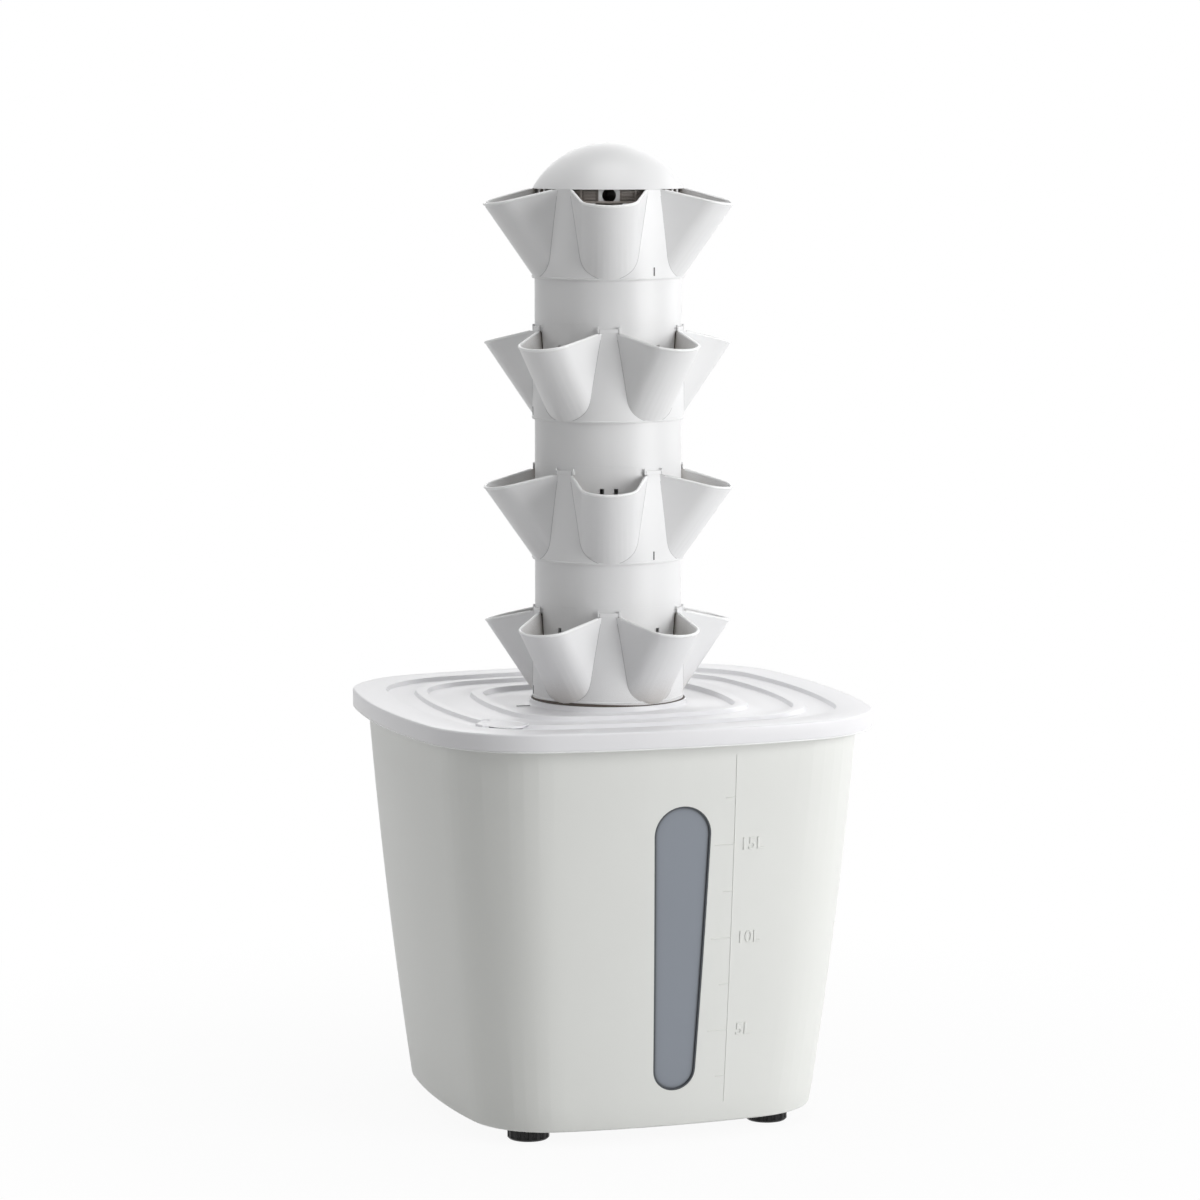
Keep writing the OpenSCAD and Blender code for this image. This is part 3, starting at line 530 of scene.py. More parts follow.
# Half widths of the terrace steps from the outside in, and the depths of the fields between them
TERRACES = (0.1553, 0.1354, 0.1263, 0.096, 0.0866)
FIELD_DEPTHS = (0.003, 0.0032, 0.0039)
RIDGE_DROP = 0.0002
LEVEL_DROPS = (0, FIELD_DEPTHS[0], RIDGE_DROP, FIELD_DEPTHS[1], RIDGE_DROP, FIELD_DEPTHS[2])
STEP_RUN = 0.0008
# Shares of a terrace step's run and of its drop, from the outside in
STEP_SHARES = (
    (0, 0), (0.06, 0.015), (0.12, 0.06), (0.2, 0.14), (0.8, 0.86), (0.88, 0.94), (0.94, 0.985), (1, 1))
COLLAR_R = 0.0593
COLLAR_IN_R = 0.0579
COLLAR_DROP = 0.0004
COLLAR_FOOT_W = 0.0023
COLLAR_FOOT_H = 0.0009
COLLAR_FOOT_STEPS = 5
COLLAR_EDGE = 0.0005
COLLAR_EDGE_STEPS = 4
COLLAR_IN_EDGE = 0.0002
TUBE_R = 0.0549
TUBE_WALL = 0.002
TOWER_RISE = 0.0007
TOWER_Z = LID_TOP_Z + TOWER_RISE
COLLAR_TOP_Z = TOWER_Z - COLLAR_DROP
SPIGOT = 0.005
WELL_FLOOR_Z = TOWER_Z - 0.0082
WELL_FLOOR_T = 0.0022
RISER_HOLE_R = 0.0083
LID_ANGLE = 40
LID_WELD = 1e-6


def lid_loop(half, z):
    share = half / LID_HALF
    return outline(half, LID_CORNER * share, LID_BOW * share, z)


LOOP_ANGLES = [math.atan2(p.y, p.x) for p in lid_loop(LID_HALF, 0)]


def round_loop(r, z):
    return [Vector((r * math.cos(a), r * math.sin(a), z)) for a in LOOP_ANGLES]


def soft_step(half, z_out, z_in):
    return [
        lid_loop(half + STEP_RUN * (1 - 2 * t), z_out + (z_in - z_out) * share)
        for t, share in STEP_SHARES]


loops = [
    lid_loop(LID_HALF - LID_LINE_R, LID_LOW_Z),
    lid_loop(LID_HALF - LID_LINE_R, LID_LOW_Z + LID_LINE_RISE * LID_LINE_R),
]
for a in quarter(LID_LINE_STEPS):
    rise = LID_LINE_R * (LID_LINE_RISE + 1 - math.cos(a))
    loops.append(lid_loop(LID_HALF - LID_LINE_R * (1 - math.sin(a)), LID_LOW_Z + rise))
for a in quarter(LID_EDGE_STEPS):
    inset = LID_EDGE_R * LID_EDGE_SHARE * (1 - math.cos(a))
    loops.append(lid_loop(LID_HALF - inset, LID_TOP_Z - LID_EDGE_R + LID_EDGE_R * math.sin(a)))
loops.append(lid_loop(LID_HALF - LID_EDGE_RUN, LID_TOP_Z))
levels = [LID_TOP_Z - drop for drop in LEVEL_DROPS]
for half, z_out, z_in in zip(TERRACES, levels, levels[1:]):
    loops += soft_step(half, z_out, z_in)
floor_z = levels[-1]
for a in quarter(COLLAR_FOOT_STEPS):
    r = COLLAR_R + COLLAR_FOOT_W * (1 - math.sin(a))
    loops.append(round_loop(r, floor_z + COLLAR_FOOT_H * (1 - math.cos(a))))
for a in quarter(COLLAR_EDGE_STEPS):
    r = COLLAR_R - COLLAR_EDGE * (1 - math.cos(a))
    loops.append(round_loop(r, COLLAR_TOP_Z - COLLAR_EDGE * (1 - math.sin(a))))
for r, z in (
        (COLLAR_IN_R + COLLAR_IN_EDGE, COLLAR_TOP_Z),
        (COLLAR_IN_R, COLLAR_TOP_Z - COLLAR_IN_EDGE),
        (COLLAR_IN_R, floor_z),
        (TUBE_R, floor_z),
        (TUBE_R, TOWER_Z + SPIGOT),
        (TUBE_R - TUBE_WALL, TOWER_Z + SPIGOT),
        (TUBE_R - TUBE_WALL, WELL_FLOOR_Z + WELL_FLOOR_T),
        (RISER_HOLE_R, WELL_FLOOR_Z + WELL_FLOOR_T),
        (RISER_HOLE_R, WELL_FLOOR_Z),
        (TUBE_R, WELL_FLOOR_Z),
        (TUBE_R, TANK_TOP_Z)):
    loops.append(round_loop(r, z))
loops.append(lid_loop(LID_HALF - SKIRT_T, TANK_TOP_Z))
loops.append(lid_loop(LID_HALF - SKIRT_T, LID_LOW_Z))
bm = bmesh.new()
loops_to_mesh(bm, loops)

# Centre of the filler opening, at the near left corner
FILL = (-0.115, -0.102)
FILL_PAD_R = 0.0215
FILL_PAD_DROP = 0.0022
FILL_HOLE_R = 0.0153
FILL_FLANGE_R = 0.019
CORD_W = 0.010
CORD_H = 0.0095
CUT_UNDER = 0.001
CUT_ABOVE = 0.01
DRAINS = 6
DRAIN_R = 0.007
DRAIN_AT = 0.032
DRAIN_FIRST = 30
DRAIN_STEPS = 32
cord_low_z = LID_LOW_Z - CUT_UNDER
cutters = [
    can(FILL_PAD_R, LID_TOP_Z - FILL_PAD_DROP, LID_TOP_Z + CUT_ABOVE, FILL),
    can(FILL_HOLE_R, TANK_TOP_Z - CUT_UNDER, LID_TOP_Z + CUT_ABOVE, FILL),
    box_cutter(
        (-CORD_W / 2, LID_HALF - 2 * SKIRT_T, cord_low_z),
        (CORD_W / 2, LID_HALF + 2 * SKIRT_T, cord_low_z + CORD_H)),
]
for i in range(DRAINS):
    a = math.radians(DRAIN_FIRST + 360 / DRAINS * i)
    spot = (DRAIN_AT * math.cos(a), DRAIN_AT * math.sin(a))
    cutters.append(can(DRAIN_R, WELL_FLOOR_Z - CUT_UNDER, WELL_FLOOR_Z + CUT_ABOVE, spot, DRAIN_STEPS))
bm = cut_mesh(bm, cutters)
bmesh.ops.remove_doubles(bm, verts=bm.verts, dist=LID_WELD)
finish_mesh(bm, "lid_skin", "lid_unit", "lid_plastic", angle=LID_ANGLE, swaps=("lid",))

# A bead along the lid's lower edge, in the lighter lip material as a painted highlight
bm = bmesh.new()
edge_path = lid_loop(LID_HALF - LID_LINE_R - LID_LINE_IN, LID_LOW_Z + LID_LINE_R)
sweep(bm, edge_path, LID_LINE_R, LID_LINE_SIDES, closed=True)
finish_outward(bm, "lid_edge_line", "lid_unit", "lid_plastic", mat="lip_highlight_plastic", angle=WIRE_ANGLE)

LID_MARK_SIZE = (0.0105, 0.0011, 0.0004)
LID_MARK_AT = 0.0675
LID_MARK_RISE = 0.0004
LID_MARK_TURN = math.radians(181)
bm = bmesh.new()
spot = Matrix.Translation((LID_MARK_AT, 0, floor_z + LID_MARK_RISE))
block(bm, LID_MARK_SIZE, Matrix.Rotation(LID_MARK_TURN, 4, "Z") @ spot)
finish_mesh(bm, "lid_lock_mark", "lid_unit", "lid_plastic", mat="mark_and_shadow_grey", smooth=False)

# Filler cap

CAP_SEAT_Z = LID_TOP_Z - FILL_PAD_DROP
CAP_AXIS_R = 0.0001
CAP_FLANGE_T = 0.0016
CAP_TOP_T = 0.0022
CAP_BORE_R = 0.013
CAP_PLUG_R = 0.015
CAP_PLUG_H = 0.006
CAP_ROUND = 0.0008
CAP_ROUND_STEPS = 6
# Radius of each point of the cap's dished top, and its depth under the flange
CAP_DISH = ((0.0155, 0), (0.0149, 0.0002), (0.0143, 0.0005), (0.0134, 0.0006), (CAP_AXIS_R, 0.0006))
CAP_STEPS = 96
TAB_SIZE = (0.0052, 0.009, 0.0020)
TAB_AT = (0.0186, 0, 0.0012)
TAB_RISE = 0.0004
TAB_TURN = math.radians(197)
TAB_ROUND = 0.0007
profile = [
    (CAP_AXIS_R, CAP_FLANGE_T - CAP_TOP_T),
    (CAP_BORE_R, CAP_FLANGE_T - CAP_TOP_T),
    (CAP_BORE_R, -CAP_PLUG_H),
    (CAP_PLUG_R, -CAP_PLUG_H),
    (CAP_PLUG_R, 0),
    (FILL_FLANGE_R, 0),
]
for a in quarter(CAP_ROUND_STEPS):
    profile.append((
        FILL_FLANGE_R - CAP_ROUND + CAP_ROUND * math.cos(a),
        CAP_FLANGE_T - CAP_ROUND + CAP_ROUND * math.sin(a)))
profile += [(r, CAP_FLANGE_T - depth) for r, depth in CAP_DISH]
bm = bmesh.new()
lathe(bm, profile, (*FILL, CAP_SEAT_Z), CAP_STEPS)
spot = Matrix.Translation((*FILL, CAP_SEAT_Z + TAB_RISE)) @ Matrix.Rotation(TAB_TURN, 4, "Z")
tab = block(bm, TAB_SIZE, spot @ Matrix.Translation(TAB_AT))
edges = list({e for v in tab for e in v.link_edges})
bmesh.ops.bevel(bm, geom=edges, offset=TAB_ROUND, segments=3, affect="EDGES", profile=0.5)
finish_outward(bm, "fill_cap_skin", "filler", "lid_plastic", angle=CAP_ANGLE, swaps=("fill_cap",))

# Painted shadow lines under the filler cap's near edge
CAP_LINE_R = FILL_FLANGE_R - 0.0001
CAP_LINE_W = 0.0003
CAP_LINE_RISE = 0.0001
CAP_LINE_STEPS = 24
# From and to angle, height, and the share of it left at the far end
CAP_LINES = ((181, 208, 0.0013, 0.9), (221, 233, 0.0015, 0.9), (233, 272, 0.0012, 0.15))


def cap_shadow(bm, from_deg, to_deg, thick, fade):
    """A painted shadow: a dark crescent under the cap's near edge."""
    rows = []
    for i in range(CAP_LINE_STEPS + 1):
        share = i / CAP_LINE_STEPS
        a = math.radians(from_deg + (to_deg - from_deg) * share)
        low, top = CAP_LINE_RISE, thick * (1 - (1 - fade) * share)
        inner, outer = CAP_LINE_R, CAP_LINE_R + CAP_LINE_W
        rows.append([
            Vector((FILL[0] + r * math.cos(a), FILL[1] + r * math.sin(a), CAP_SEAT_Z + z))
            for r, z in ((inner, low), (outer, low), (outer, top), (inner, top))])
    capped_loops(bm, rows)


bm = bmesh.new()
for line in CAP_LINES:
    cap_shadow(bm, *line)
finish_outward(bm, "fill_cap_shadow", "filler", "lid_plastic", mat="mark_and_shadow_grey", angle=LINE_ANGLE)

# Planter rings

TIERS = 4
TIER_PITCH = 0.1051
POCKETS = 5
ODD_TURN = math.radians(180)
EVEN_TURN = math.radians(216)
RING_R = 0.0568
RING_H = 0.0665
POCKET_WALL = 0.0018
POCKET_ROOT = 0.004
ROOT_STEPS = 12
SHOULDER_STEPS = 10
NOSE_STEPS = 14
LEAN = math.radians(35.8)
MOUTH_SLOPE = math.radians(13.4)
FLARE = math.radians(13)
NOSE_R = 0.0265
SHOULDER_R = 0.0145
SHOULDER_AT = 0.0075
NOSE_REACH = 0.0458
NOSE_X = NOSE_REACH - NOSE_R
SHOULDER_X = NOSE_X + math.sqrt((NOSE_R - SHOULDER_R) ** 2 - SHOULDER_AT ** 2)
MOUTH_X = 0.05
MOUTH_DROP = 0.0002
BEAD_R = 0.0011
BEAD_SIDES = 12
BEAD_SINK = 0.0004
# Size of the painted shadow strips in the gaps beside the pockets
GAP_W = 0.0011
GAP_T = 0.0002
GAP_TOP_DROP = 0.001
GAP_LENGTH = 0.022
GAP_STEPS = 12
GAP_TRIES = 8
CREASE_R = 0.00025
CREASE_SINK = 0.00006
CREASE_SIDES = 8
CREASE_V = 0.004
CREASE_LOW = 0.0012
FOOT_LINE_OUT = 0.00035
FOOT_LINE_ROOT = 0.0001
FOOT_LINE_IN = 0.0006
FOOT_LINE_UNDER = 0.0005
FOOT_LINE_FLAT = 0.0006
FOOT_LINE_OVER = 0.0011
FOOT_LINE_RISE = 0.0009
LOW_FOOT_LINE_RISE = 0.0022
LOCK_MARK_SIZE = (0.0006, 0.0009, 0.0062)
LOCK_MARK_RISE = 0.0062
ODD_MARK_TURN = math.radians(108)
EVEN_MARK_TURN = math.radians(-45)
# The painted shadow line where the lowest ring meets the collar
SEAT_LINE_LOW = -0.0012
SEAT_LINE_TOP = 0.0002
SEAT_LINE_IN = 0.0002
SEAT_LINE_OUT = 0.0003
SEAT_SWELL = 0.0015
SEAT_SWELL_AT = math.radians(222)
SEAT_SWELL_SPAN = math.radians(55)


def tier_z(k):
    return TOWER_Z + (TIERS - k) * TIER_PITCH


def tier_turn(k):
    return ODD_TURN if k % 2 == 1 else EVEN_TURN


def pocket_turn(k, place):
    """Angle of a pocket on ring k; a place with a half stands between two pockets."""
    return tier_turn(k) + 2 * math.pi * place / POCKETS


def pocket_spin(k, place, z=None):
    """Turns a pocket that points along +X to its place on ring k, at the ring's own height or at z."""
    lift = Matrix.Translation((0, 0, tier_z(k) if z is None else z))
    return lift @ Matrix.Rotation(pocket_turn(k, place), 4, "Z")


def flare_end(inset):
    """Where the flared side wall of a pocket, moved in by inset, ends at its shoulder."""
    s = SHOULDER_R - inset
    return SHOULDER_X + s * math.sin(FLARE), SHOULDER_AT + s * math.cos(FLARE)


def pocket_path(inset):
    """The pocket's outline, moved in by inset, seen along its own slope."""
    s = SHOULDER_R - inset
    beta = math.atan2(SHOULDER_AT, SHOULDER_X - NOSE_X)
    half = []
    end_u, end_v = flare_end(inset)
    for i in range(ROOT_STEPS):
        t = i / ROOT_STEPS
        u = POCKET_ROOT + (end_u - POCKET_ROOT) * t
        half.append((u, end_v + (end_u - u) * math.tan(FLARE)))
    for i in range(SHOULDER_STEPS + 1):
        a = math.pi / 2 - FLARE + (beta - math.pi / 2 + FLARE) * i / SHOULDER_STEPS
        half.append((SHOULDER_X + s * math.cos(a), SHOULDER_AT + s * math.sin(a)))
    for i in range(1, NOSE_STEPS + 1):
        a = beta * (1 - i / NOSE_STEPS)
        half.append((NOSE_X + (NOSE_R - inset) * math.cos(a), (NOSE_R - inset) * math.sin(a)))
    return half + [(u, -v) for u, v in reversed(half[:-1])]


def mouth_point(u, v):
    """Where the line along the slope through (u, v) meets the mouth, for a pocket that points along +X."""
    ca, sa = math.cos(LEAN), math.sin(LEAN)
    base = Vector((u * ca, v, -u * sa))
    along = Vector((sa, 0, ca))
    normal = Vector((math.sin(MOUTH_SLOPE), 0, math.cos(MOUTH_SLOPE)))
    origin = Vector((MOUTH_X, 0, RING_H - MOUTH_DROP))
    t = (origin - base).dot(normal) / along.dot(normal)
    return base + along * t


def lip_line():
    line = [mouth_point(u, v) for u, v in pocket_path(POCKET_WALL / 2)]
    return [p - Vector((0, 0, BEAD_SINK)) for p in line if math.hypot(p.x, p.y) > RING_R - BEAD_SINK]


def crease_line(side):
    """The line where one side of a pocket meets its ring's wall, for a pocket that points along +X."""
    line = []
    for u, v in pocket_path(0):
        if v * side < CREASE_V:
            continue
        x = math.sqrt((RING_R - CREASE_SINK) ** 2 - v ** 2)
        t = (x - u * math.cos(LEAN)) / math.sin(LEAN)
        z = t * math.cos(LEAN) - u * math.sin(LEAN)
        mouth_z = RING_H - MOUTH_DROP - (x - MOUTH_X) * math.tan(MOUTH_SLOPE)
        if CREASE_LOW < z < mouth_z - CREASE_R:
            line.append(Vector((x, v, z)))
    return line


def gap_v(z):
    """Half the pocket's inner width where its side wall meets the column tube at height z."""
    end_u, end_v = flare_end(POCKET_WALL)
    v = end_v
    for _ in range(GAP_TRIES):
        u = math.sqrt(TUBE_R ** 2 - v ** 2) * math.cos(LEAN) - z * math.sin(LEAN)
        v = end_v + (end_u - u) * math.tan(FLARE)
    return v


def gap_shadow_rows(side):
    """A painted shadow: a dark strip in the gap between a pocket's side wall and the tube, for a pocket that
    points along +X.
    """
    rows = []
    for j in range(GAP_STEPS + 1):
        z = RING_H - GAP_TOP_DROP - GAP_LENGTH * j / GAP_STEPS
        v = gap_v(z)
        corners = ((-GAP_T, v - GAP_W), (GAP_T, v - GAP_W), (GAP_T, v), (-GAP_T, v))
        rows.append([Vector((math.sqrt((TUBE_R + out) ** 2 - y * y), side * y, z)) for out, y in corners])
    return rows


def seat_shadow_top(a):
    """Height of the painted shadow line under the lowest ring, tallest where the ring sits a little high."""
    away = math.remainder(a - SEAT_SWELL_AT, 2 * math.pi) / SEAT_SWELL_SPAN * math.pi / 2
    return SEAT_LINE_TOP + (SEAT_SWELL * math.cos(away) if abs(away) < math.pi / 2 else 0)


for k in range(1, TIERS + 1):
    body = "tier_%d" % k
    skin("planter_ring_%d" % k, mat="ring_plastic_painted_shade")
    spins = [pocket_spin(k, i) for i in range(POCKETS)]

    # Beads along the pocket mouths, in the lighter lip material as a painted highlight
    bm = bmesh.new()
    for spin in spins:
        sweep(bm, [spin @ p for p in lip_line()], BEAD_R, sides=BEAD_SIDES)
    finish_outward(bm, "pocket_lips_%d" % k, body, "tower_plastic", mat="lip_highlight_plastic", angle=LIP_ANGLE)

    # Thin grey bars along the creases where the pockets meet the ring: painted shade
    bm = bmesh.new()
    for spin in spins:
        for side in (-1, 1):
            sweep(bm, [spin @ p for p in crease_line(side)], CREASE_R, sides=CREASE_SIDES)
    finish_outward(bm, "pocket_crease_shades_%d" % k, body, "tower_plastic", mat="seam_and_crease_shade_grey", angle=WIRE_ANGLE)

    # Painted shadow strips where the pocket walls meet the tube
    if k > 1:
        bm = bmesh.new()
        for spin in spins:
            for side in (-1, 1):
                capped_loops(bm, [[spin @ p for p in row] for row in gap_shadow_rows(side)])
        finish_outward(bm, "pocket_gap_shadows_%d" % k, body, "tower_plastic", mat="gap_shadow_brown", angle=LIP_ANGLE)

    rise = LOW_FOOT_LINE_RISE if k == TIERS else FOOT_LINE_RISE
    profile = [
        (RING_R - FOOT_LINE_IN, rise - FOOT_LINE_UNDER),
        (RING_R - FOOT_LINE_ROOT, rise - FOOT_LINE_UNDER),
        (RING_R + FOOT_LINE_OUT, rise),
        (RING_R + FOOT_LINE_OUT, rise + FOOT_LINE_FLAT),
        (RING_R - FOOT_LINE_ROOT, rise + FOOT_LINE_OVER),
        (RING_R - FOOT_LINE_IN, rise + FOOT_LINE_OVER),
    ]
    bm = bmesh.new()
    lathe(bm, profile, (0, 0, tier_z(k)))
    finish_outward(bm, "ring_foot_line_%d" % k, body, "tower_plastic", angle=LINE_ANGLE)

    bm = bmesh.new()
    turn = tier_turn(k) + (ODD_MARK_TURN if k % 2 == 1 else EVEN_MARK_TURN)
    spot = Matrix.Translation((RING_R, 0, tier_z(k) + LOCK_MARK_RISE))
    block(bm, LOCK_MARK_SIZE, Matrix.Rotation(turn, 4, "Z") @ spot)
    finish_mesh(bm, "ring_lock_mark_%d" % k, body, "tower_plastic", mat="mark_and_shadow_grey", smooth=False)

# Painted shadow: a dark band around the foot of the lowest ring
bm = bmesh.new()
turns = [2 * math.pi * i / ROUND_STEPS for i in range(ROUND_STEPS)]
inner, outer = RING_R - SEAT_LINE_IN, RING_R + SEAT_LINE_OUT
loops = []
for r, top in ((inner, False), (outer, False), (outer, True), (inner, True)):
    rises = [seat_shadow_top(a) if top else SEAT_LINE_LOW for a in turns]
    loops.append([
        Vector((r * math.cos(a), r * math.sin(a), tier_z(TIERS) + rise)) for a, rise in zip(turns, rises)])
loops_to_mesh(bm, loops)
finish_outward(bm, "ring_seat_shadow", "tier_%d" % TIERS, "tower_plastic", mat="gap_shadow_brown", angle=LINE_ANGLE)

# Column tubes and drip trays

SLOT_LOW = 0.041
SLOT_HIGH = 0.0567
SLOT_W = 0.003
SLOT_APART = 0.0105
SLOT_REACH = 0.004
LUG_R = 0.057
LUG_SPAN = 0.017
LUG_RIB_SIZE = (0.0014, 0.0012, 0.0046)
LUG_RIB_IN = 0.0004
LUG_SEAM_SIZE = (0.0003, 0.0005, 0.0028)
LUG_SEAM_IN = 0.0015
TUBE_LINE_RISE = 0.0062
TUBE_LINE_SINK = 0.0003
TUBE_LINE_OUT = 0.00015


def tube_skin(k):
    """The tube's own shape, with its water slots carried up to their full height."""
    tube = "column_tube_%d" % k
    slots = bmesh.new()
    for i in range(POCKETS):
        for side in (-1, 1):
            spot = Matrix.Translation((TUBE_R, side * SLOT_APART / 2, (SLOT_LOW + SLOT_HIGH) / 2))
            block(slots, (2 * SLOT_REACH, SLOT_W, SLOT_HIGH - SLOT_LOW), pocket_spin(k, i) @ spot)
    bm = cut_mesh(node_mesh(tube), [rough_object(slots, "cutter")])
    bmesh.ops.remove_doubles(bm, verts=bm.verts, dist=SKIN_WELD)
    bmesh.ops.dissolve_degenerate(bm, edges=bm.edges, dist=SKIN_WELD)
    finish_mesh(bm, tube + "_skin", BODY_OF[tube], SLOT_OF[tube], angle=SKIN_ANGLE, swaps=(tube,))


for k in range(1, TIERS + 1):
    skin("drip_tray_%d" % k)
    if k == 1:
        skin("column_tube_1")
        continue
    tube_skin(k)
    body = "tier_%d" % k
    ribs, seams = bmesh.new(), bmesh.new()
    for i in range(POCKETS):
        spin = pocket_spin(k, i + 0.5)
        for side in (-1, 1):
            x = math.sqrt(LUG_R ** 2 - (LUG_SPAN / 2) ** 2) - LUG_RIB_IN
            y = side * (LUG_SPAN / 2 - LUG_RIB_SIZE[1] / 2)
            block(ribs, LUG_RIB_SIZE, spin @ Matrix.Translation((x, y, RING_H + LUG_RIB_SIZE[2] / 2)))
            y = side * (LUG_SPAN / 2 - LUG_SEAM_IN)
            x = math.sqrt(LUG_R ** 2 - y ** 2)
            block(seams, LUG_SEAM_SIZE, spin @ Matrix.Translation((x, y, RING_H + LUG_SEAM_SIZE[2] / 2)))
    finish_outward(ribs, "lug_ribs_%d" % k, body, "tower_plastic", smooth=False)
    finish_outward(seams, "lug_seams_%d" % k, body, "tower_plastic", mat="seam_and_crease_shade_grey", smooth=False)
    bm = bmesh.new()
    line_z = tier_z(k) + RING_H + TUBE_LINE_RISE
    lathe(bm, [
        (TUBE_R - TUBE_LINE_SINK, line_z - TUBE_LINE_SINK),
        (TUBE_R + TUBE_LINE_OUT, line_z),
        (TUBE_R - TUBE_LINE_SINK, line_z + TUBE_LINE_SINK)])
    finish_outward(bm, "tube_line_%d" % k, body, "tower_plastic", angle=WIRE_ANGLE)

# Distributor

SHORT_TUBE_DROP = 0.010
DRUM_R = 0.0505
DRUM_Z = tier_z(1) + RING_H - SHORT_TUBE_DROP
DRUM_H = 0.0095
DRUM_SINK = 0.0003
SPOUT_FACE = 0.0515
SPOUT_W = 0.0155
SPOUT_H = 0.013
SPOUT_BORE_R = 0.0051
SPOUT_RISE = 0.0057
SPOUT_STEPS = 40
FRAME_T = 0.0009
SLAT_T = 0.0009
SLAT_OUT = 0.0017
SLAT_RISES = (0.0031, 0.0056, 0.0081)
SLAT_SPANS = ((10.5, 21.0), (24.0, 48.0), (51.0, 61.5))
SLAT_STEPS = 8
POST_SPANS = ((21.0, 22.6), (48.0, 49.6))
POST_OUT = 0.002
POST_LOW = 0.0015
POST_STEPS = 2
TINY = 1e-6

# The distributor and its louvres wear the darker grey brown, partly painted shade
skin("distributor", mat="inner_grey")
drum = (BODY_OF["distributor"], SLOT_OF["distributor"])


def arc_bar(bm, out, z0, z1, a0, a1, steps):
    """A bar around the drum from angle a0 to a1, standing out from it."""
    r0, r1 = DRUM_R - DRUM_SINK, DRUM_R + out
    rows = []
    for i in range(steps + 1):
        a = a0 + (a1 - a0) * i / steps
        rows.append([
            Vector((r * math.cos(a), r * math.sin(a), z))
            for r, z in ((r0, z0), (r1, z0), (r1, z1), (r0, z1))])
    capped_loops(bm, rows)


def pierced_plate(bm, spin):
    """The frame of one spout: a flat plate with a round hole."""
    ring = []
    for i in range(SPOUT_STEPS):
        a = 2 * math.pi * (i + 0.5) / SPOUT_STEPS
        c, s = math.cos(a), math.sin(a)
        reach = min(
            SPOUT_W / 2 / abs(c) if abs(c) > TINY else 1,
            ((SPOUT_H - SPOUT_RISE) if s > 0 else SPOUT_RISE) / abs(s) if abs(s) > TINY else 1)
        ring.append((SPOUT_BORE_R * c, SPOUT_RISE + SPOUT_BORE_R * s, reach * c, SPOUT_RISE + reach * s))
    front = SPOUT_FACE + FRAME_T / 2
    loops_to_mesh(bm, [
        [spin @ Vector((front - FRAME_T, y, z)) for y, z, _, _ in ring],
        [spin @ Vector((front, y, z)) for y, z, _, _ in ring],
        [spin @ Vector((front, y, z)) for _, _, y, z in ring],
        [spin @ Vector((front - FRAME_T, y, z)) for _, _, y, z in ring],
    ])


bm = bmesh.new()
for i in range(POCKETS):
    turn = pocket_turn(1, i)
    for rise in SLAT_RISES:
        z0, z1 = DRUM_Z + rise - SLAT_T / 2, DRUM_Z + rise + SLAT_T / 2
        for a0, a1 in SLAT_SPANS:
            arc_bar(bm, SLAT_OUT, z0, z1, turn + math.radians(a0), turn + math.radians(a1), SLAT_STEPS)
    for a0, a1 in POST_SPANS:
        z0, z1 = DRUM_Z + POST_LOW, DRUM_Z + DRUM_H
        arc_bar(bm, POST_OUT, z0, z1, turn + math.radians(a0), turn + math.radians(a1), POST_STEPS)
finish_outward(bm, "drum_louvres", *drum, mat="inner_grey", angle=PLATE_ANGLE)

bm = bmesh.new()
for i in range(POCKETS):
    pierced_plate(bm, pocket_spin(1, i, DRUM_Z))
finish_outward(bm, "spout_frames", *drum, mat="tower_plastic", angle=PLATE_ANGLE)

# Dome

DOME_R = 0.0642
DOME_H = 0.0337
DOME_WALL = 0.0018
DOME_Z = tier_z(1) + RING_H
DOME_STEPS = 40
DOME_AXIS_R = 1e-5
DOME_WELD = 1e-5
DOME_TAB_SIZE = (0.0014, 0.009, 0.0058)
DOME_TAB_AT = (0.0537, 0, -0.0021)


def dome_arc(radius, from_rim):
    """Points from rim to top, or from top to rim, of a shell with the dome's centre."""
    rim_a = math.acos((DOME_R - DOME_H) / radius)
    points = []
    for i in range(DOME_STEPS + 1):
        a = rim_a * (1 - i / DOME_STEPS) if from_rim else rim_a * i / DOME_STEPS
        points.append((max(radius * math.sin(a), DOME_AXIS_R), radius * math.cos(a) - DOME_R + DOME_H))
    return points


bm = bmesh.new()
lathe(bm, dome_arc(DOME_R, True) + dome_arc(DOME_R - DOME_WALL, False), (0, 0, DOME_Z))
bmesh.ops.remove_doubles(bm, verts=bm.verts, dist=DOME_WELD)
for i in range(POCKETS):
    block(bm, DOME_TAB_SIZE, pocket_spin(1, i + 0.5, DOME_Z) @ Matrix.Translation(DOME_TAB_AT))
finish_outward(bm, "dome_skin", "dome", "tower_plastic", angle=PLATE_ANGLE, swaps=("dome_cap",))

# Feet and inner parts

FEET = 4
for i in range(1, FEET + 1):
    for node in ("foot_pad_%d", "foot_stud_%d", "foot_insert_%d", "suction_foot_%d"):
        skin(node % i)
for node in (
        "riser_lower", "riser_upper", "riser_coupler",
        "pump_housing", "pump_cover", "pump_screen", "pump_impeller"):
    skin(node)

# Floor and surroundings

FLOOR_R = 14
FLOOR_STEPS = 96
FLOOR_SHADE = (0.82, 0.82, 0.82, 1)
FLOOR_FADE_FROM = 0.12
FLOOR_FADE_TO = 0.75
FLOOR_NEAR = 0.93
FLOOR_FAR = 1.0
AMBIENT = 0.05
WHITE = (1, 1, 1, 1)


def largest(tree, first, second):
    node = tree.nodes.new("ShaderNodeMath")
    node.operation = "MAXIMUM"
    tree.links.new(first, node.inputs[0])
    tree.links.new(second, node.inputs[1])
    return node.outputs[0]


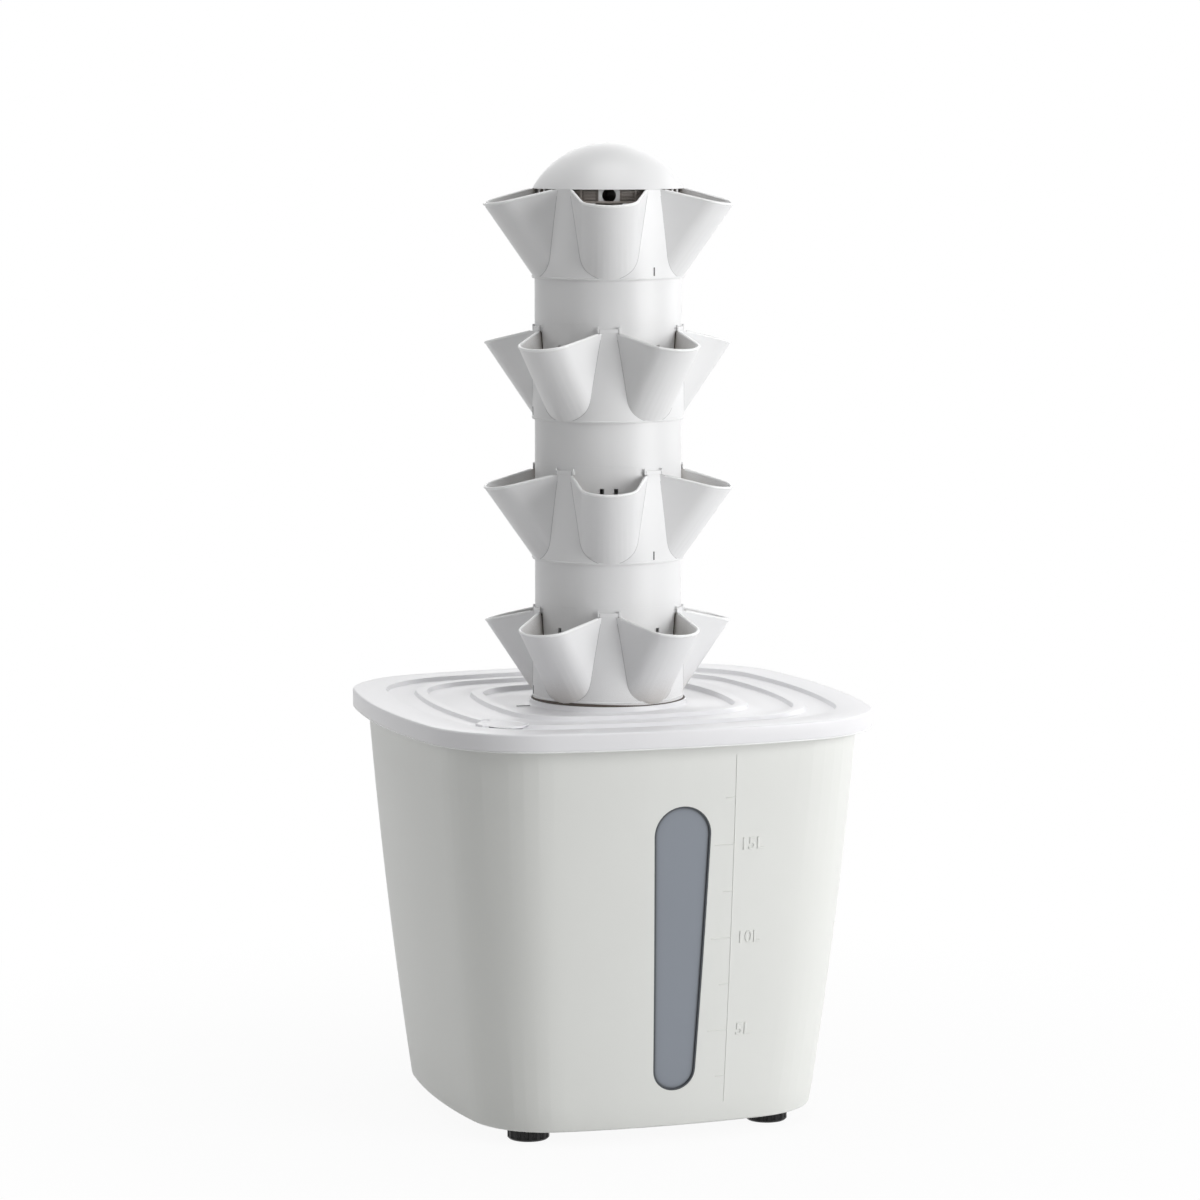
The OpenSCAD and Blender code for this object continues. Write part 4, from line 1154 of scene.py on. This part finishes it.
def seen_directly(tree):
    """One for camera, glossy and transmission rays, and zero for the rays that light the scene."""
    path = tree.nodes.new("ShaderNodeLightPath")
    first_two = largest(tree, path.outputs["Is Camera Ray"], path.outputs["Is Glossy Ray"])
    return largest(tree, first_two, path.outputs["Is Transmission Ray"])


def mix_to_output(tree, output, share, plain, bright):
    mix = tree.nodes.new("ShaderNodeMixShader")
    out = tree.nodes.new(output)
    tree.links.new(share, mix.inputs["Fac"])
    tree.links.new(plain.outputs[0], mix.inputs[1])
    tree.links.new(bright.outputs[0], mix.inputs[2])
    tree.links.new(mix.outputs[0], out.inputs["Surface"])


bpy.ops.mesh.primitive_circle_add(vertices=FLOOR_STEPS, radius=FLOOR_R, fill_type="NGON", location=(0, 0, 0))
floor = bpy.context.object
floor.name = "floor"
mat = bpy.data.materials.new("floor_pale")
mat.use_nodes = True
tree = mat.node_tree
tree.nodes.clear()
diffuse = add_node(tree, "ShaderNodeBsdfDiffuse", (("Color", FLOOR_SHADE),))
glow = add_node(tree, "ShaderNodeEmission", (("Color", WHITE), ("Strength", 1.0)))
place = tree.nodes.new("ShaderNodeTexCoord")
length = tree.nodes.new("ShaderNodeVectorMath")
length.operation = "LENGTH"
fade = add_node(tree, "ShaderNodeMapRange", (
    ("From Min", FLOOR_FADE_FROM), ("From Max", FLOOR_FADE_TO),
    ("To Min", FLOOR_NEAR), ("To Max", FLOOR_FAR)))
fade.interpolation_type = "SMOOTHSTEP"
times = tree.nodes.new("ShaderNodeMath")
times.operation = "MULTIPLY"
tree.links.new(place.outputs["Object"], length.inputs[0])
tree.links.new(length.outputs["Value"], fade.inputs["Value"])
tree.links.new(seen_directly(tree), times.inputs[0])
tree.links.new(fade.outputs["Result"], times.inputs[1])
mix_to_output(tree, "ShaderNodeOutputMaterial", times.outputs[0], diffuse, glow)
floor.data.materials.append(mat)

world = bpy.data.worlds.new("studio")
bpy.context.scene.world = world
world.use_nodes = True
tree = world.node_tree
tree.nodes.clear()
seen = add_node(tree, "ShaderNodeBackground", (("Color", WHITE), ("Strength", 1.0)))
soft = add_node(tree, "ShaderNodeBackground", (("Color", WHITE), ("Strength", AMBIENT)))
mix_to_output(tree, "ShaderNodeOutputWorld", seen_directly(tree), soft, seen)

# Lamps and camera

VIEW_AZ = math.radians(-18.73)
TARGET = Vector((0, 0, 0.36))
LAMP_DISTANCE = 2.6
LAMP_SIZE = 1.6
# name, azimuth from the camera with right positive, elevation, watts
LAMPS = (
    ("key_right", 60, 12, 46.5),
    ("right_back", 125, 20, 16),
    ("left_side", -80, 20, 10.8),
    ("left_back_high", -135, 50, 5),
    ("back", 180, 30, 8),
    ("top_soft", 0, 82, 22),
    ("high_front", 0, 50, 5.5),
)
for name, az, el, watts in LAMPS:
    light = bpy.data.lights.new(name, "AREA")
    light.shape = "SQUARE"
    light.size = LAMP_SIZE
    light.energy = watts
    lamp = bpy.data.objects.new(name, light)
    bpy.context.scene.collection.objects.link(lamp)
    a = VIEW_AZ + math.radians(az)
    e = math.radians(el)
    toward = Vector((math.sin(a) * math.cos(e), -math.cos(a) * math.cos(e), math.sin(e)))
    lamp.location = TARGET + LAMP_DISTANCE * toward
    lamp.rotation_euler = (TARGET - lamp.location).to_track_quat("-Z", "Y").to_euler()

DISTANCE = 3.217
HEIGHT = 0.7621
PITCH = math.radians(6.696)
AIM = math.radians(0.1075)
SENSOR = 36.0
FOCAL_PIXELS = 4301
IMAGE_PIXELS = 1200
FAR_CLIP = 100
camera_data = bpy.data.cameras.new("camera")
camera_data.sensor_fit = "HORIZONTAL"
camera_data.sensor_width = SENSOR
camera_data.lens = FOCAL_PIXELS / IMAGE_PIXELS * SENSOR
camera_data.clip_end = FAR_CLIP
camera = bpy.data.objects.new("camera", camera_data)
bpy.context.scene.collection.objects.link(camera)
camera.location = (DISTANCE * math.sin(VIEW_AZ), -DISTANCE * math.cos(VIEW_AZ), HEIGHT)
camera.rotation_euler = (math.pi / 2 - PITCH, 0, VIEW_AZ + AIM)
bpy.context.scene.camera = camera
bpy.context.scene.view_settings.view_transform = "Standard"
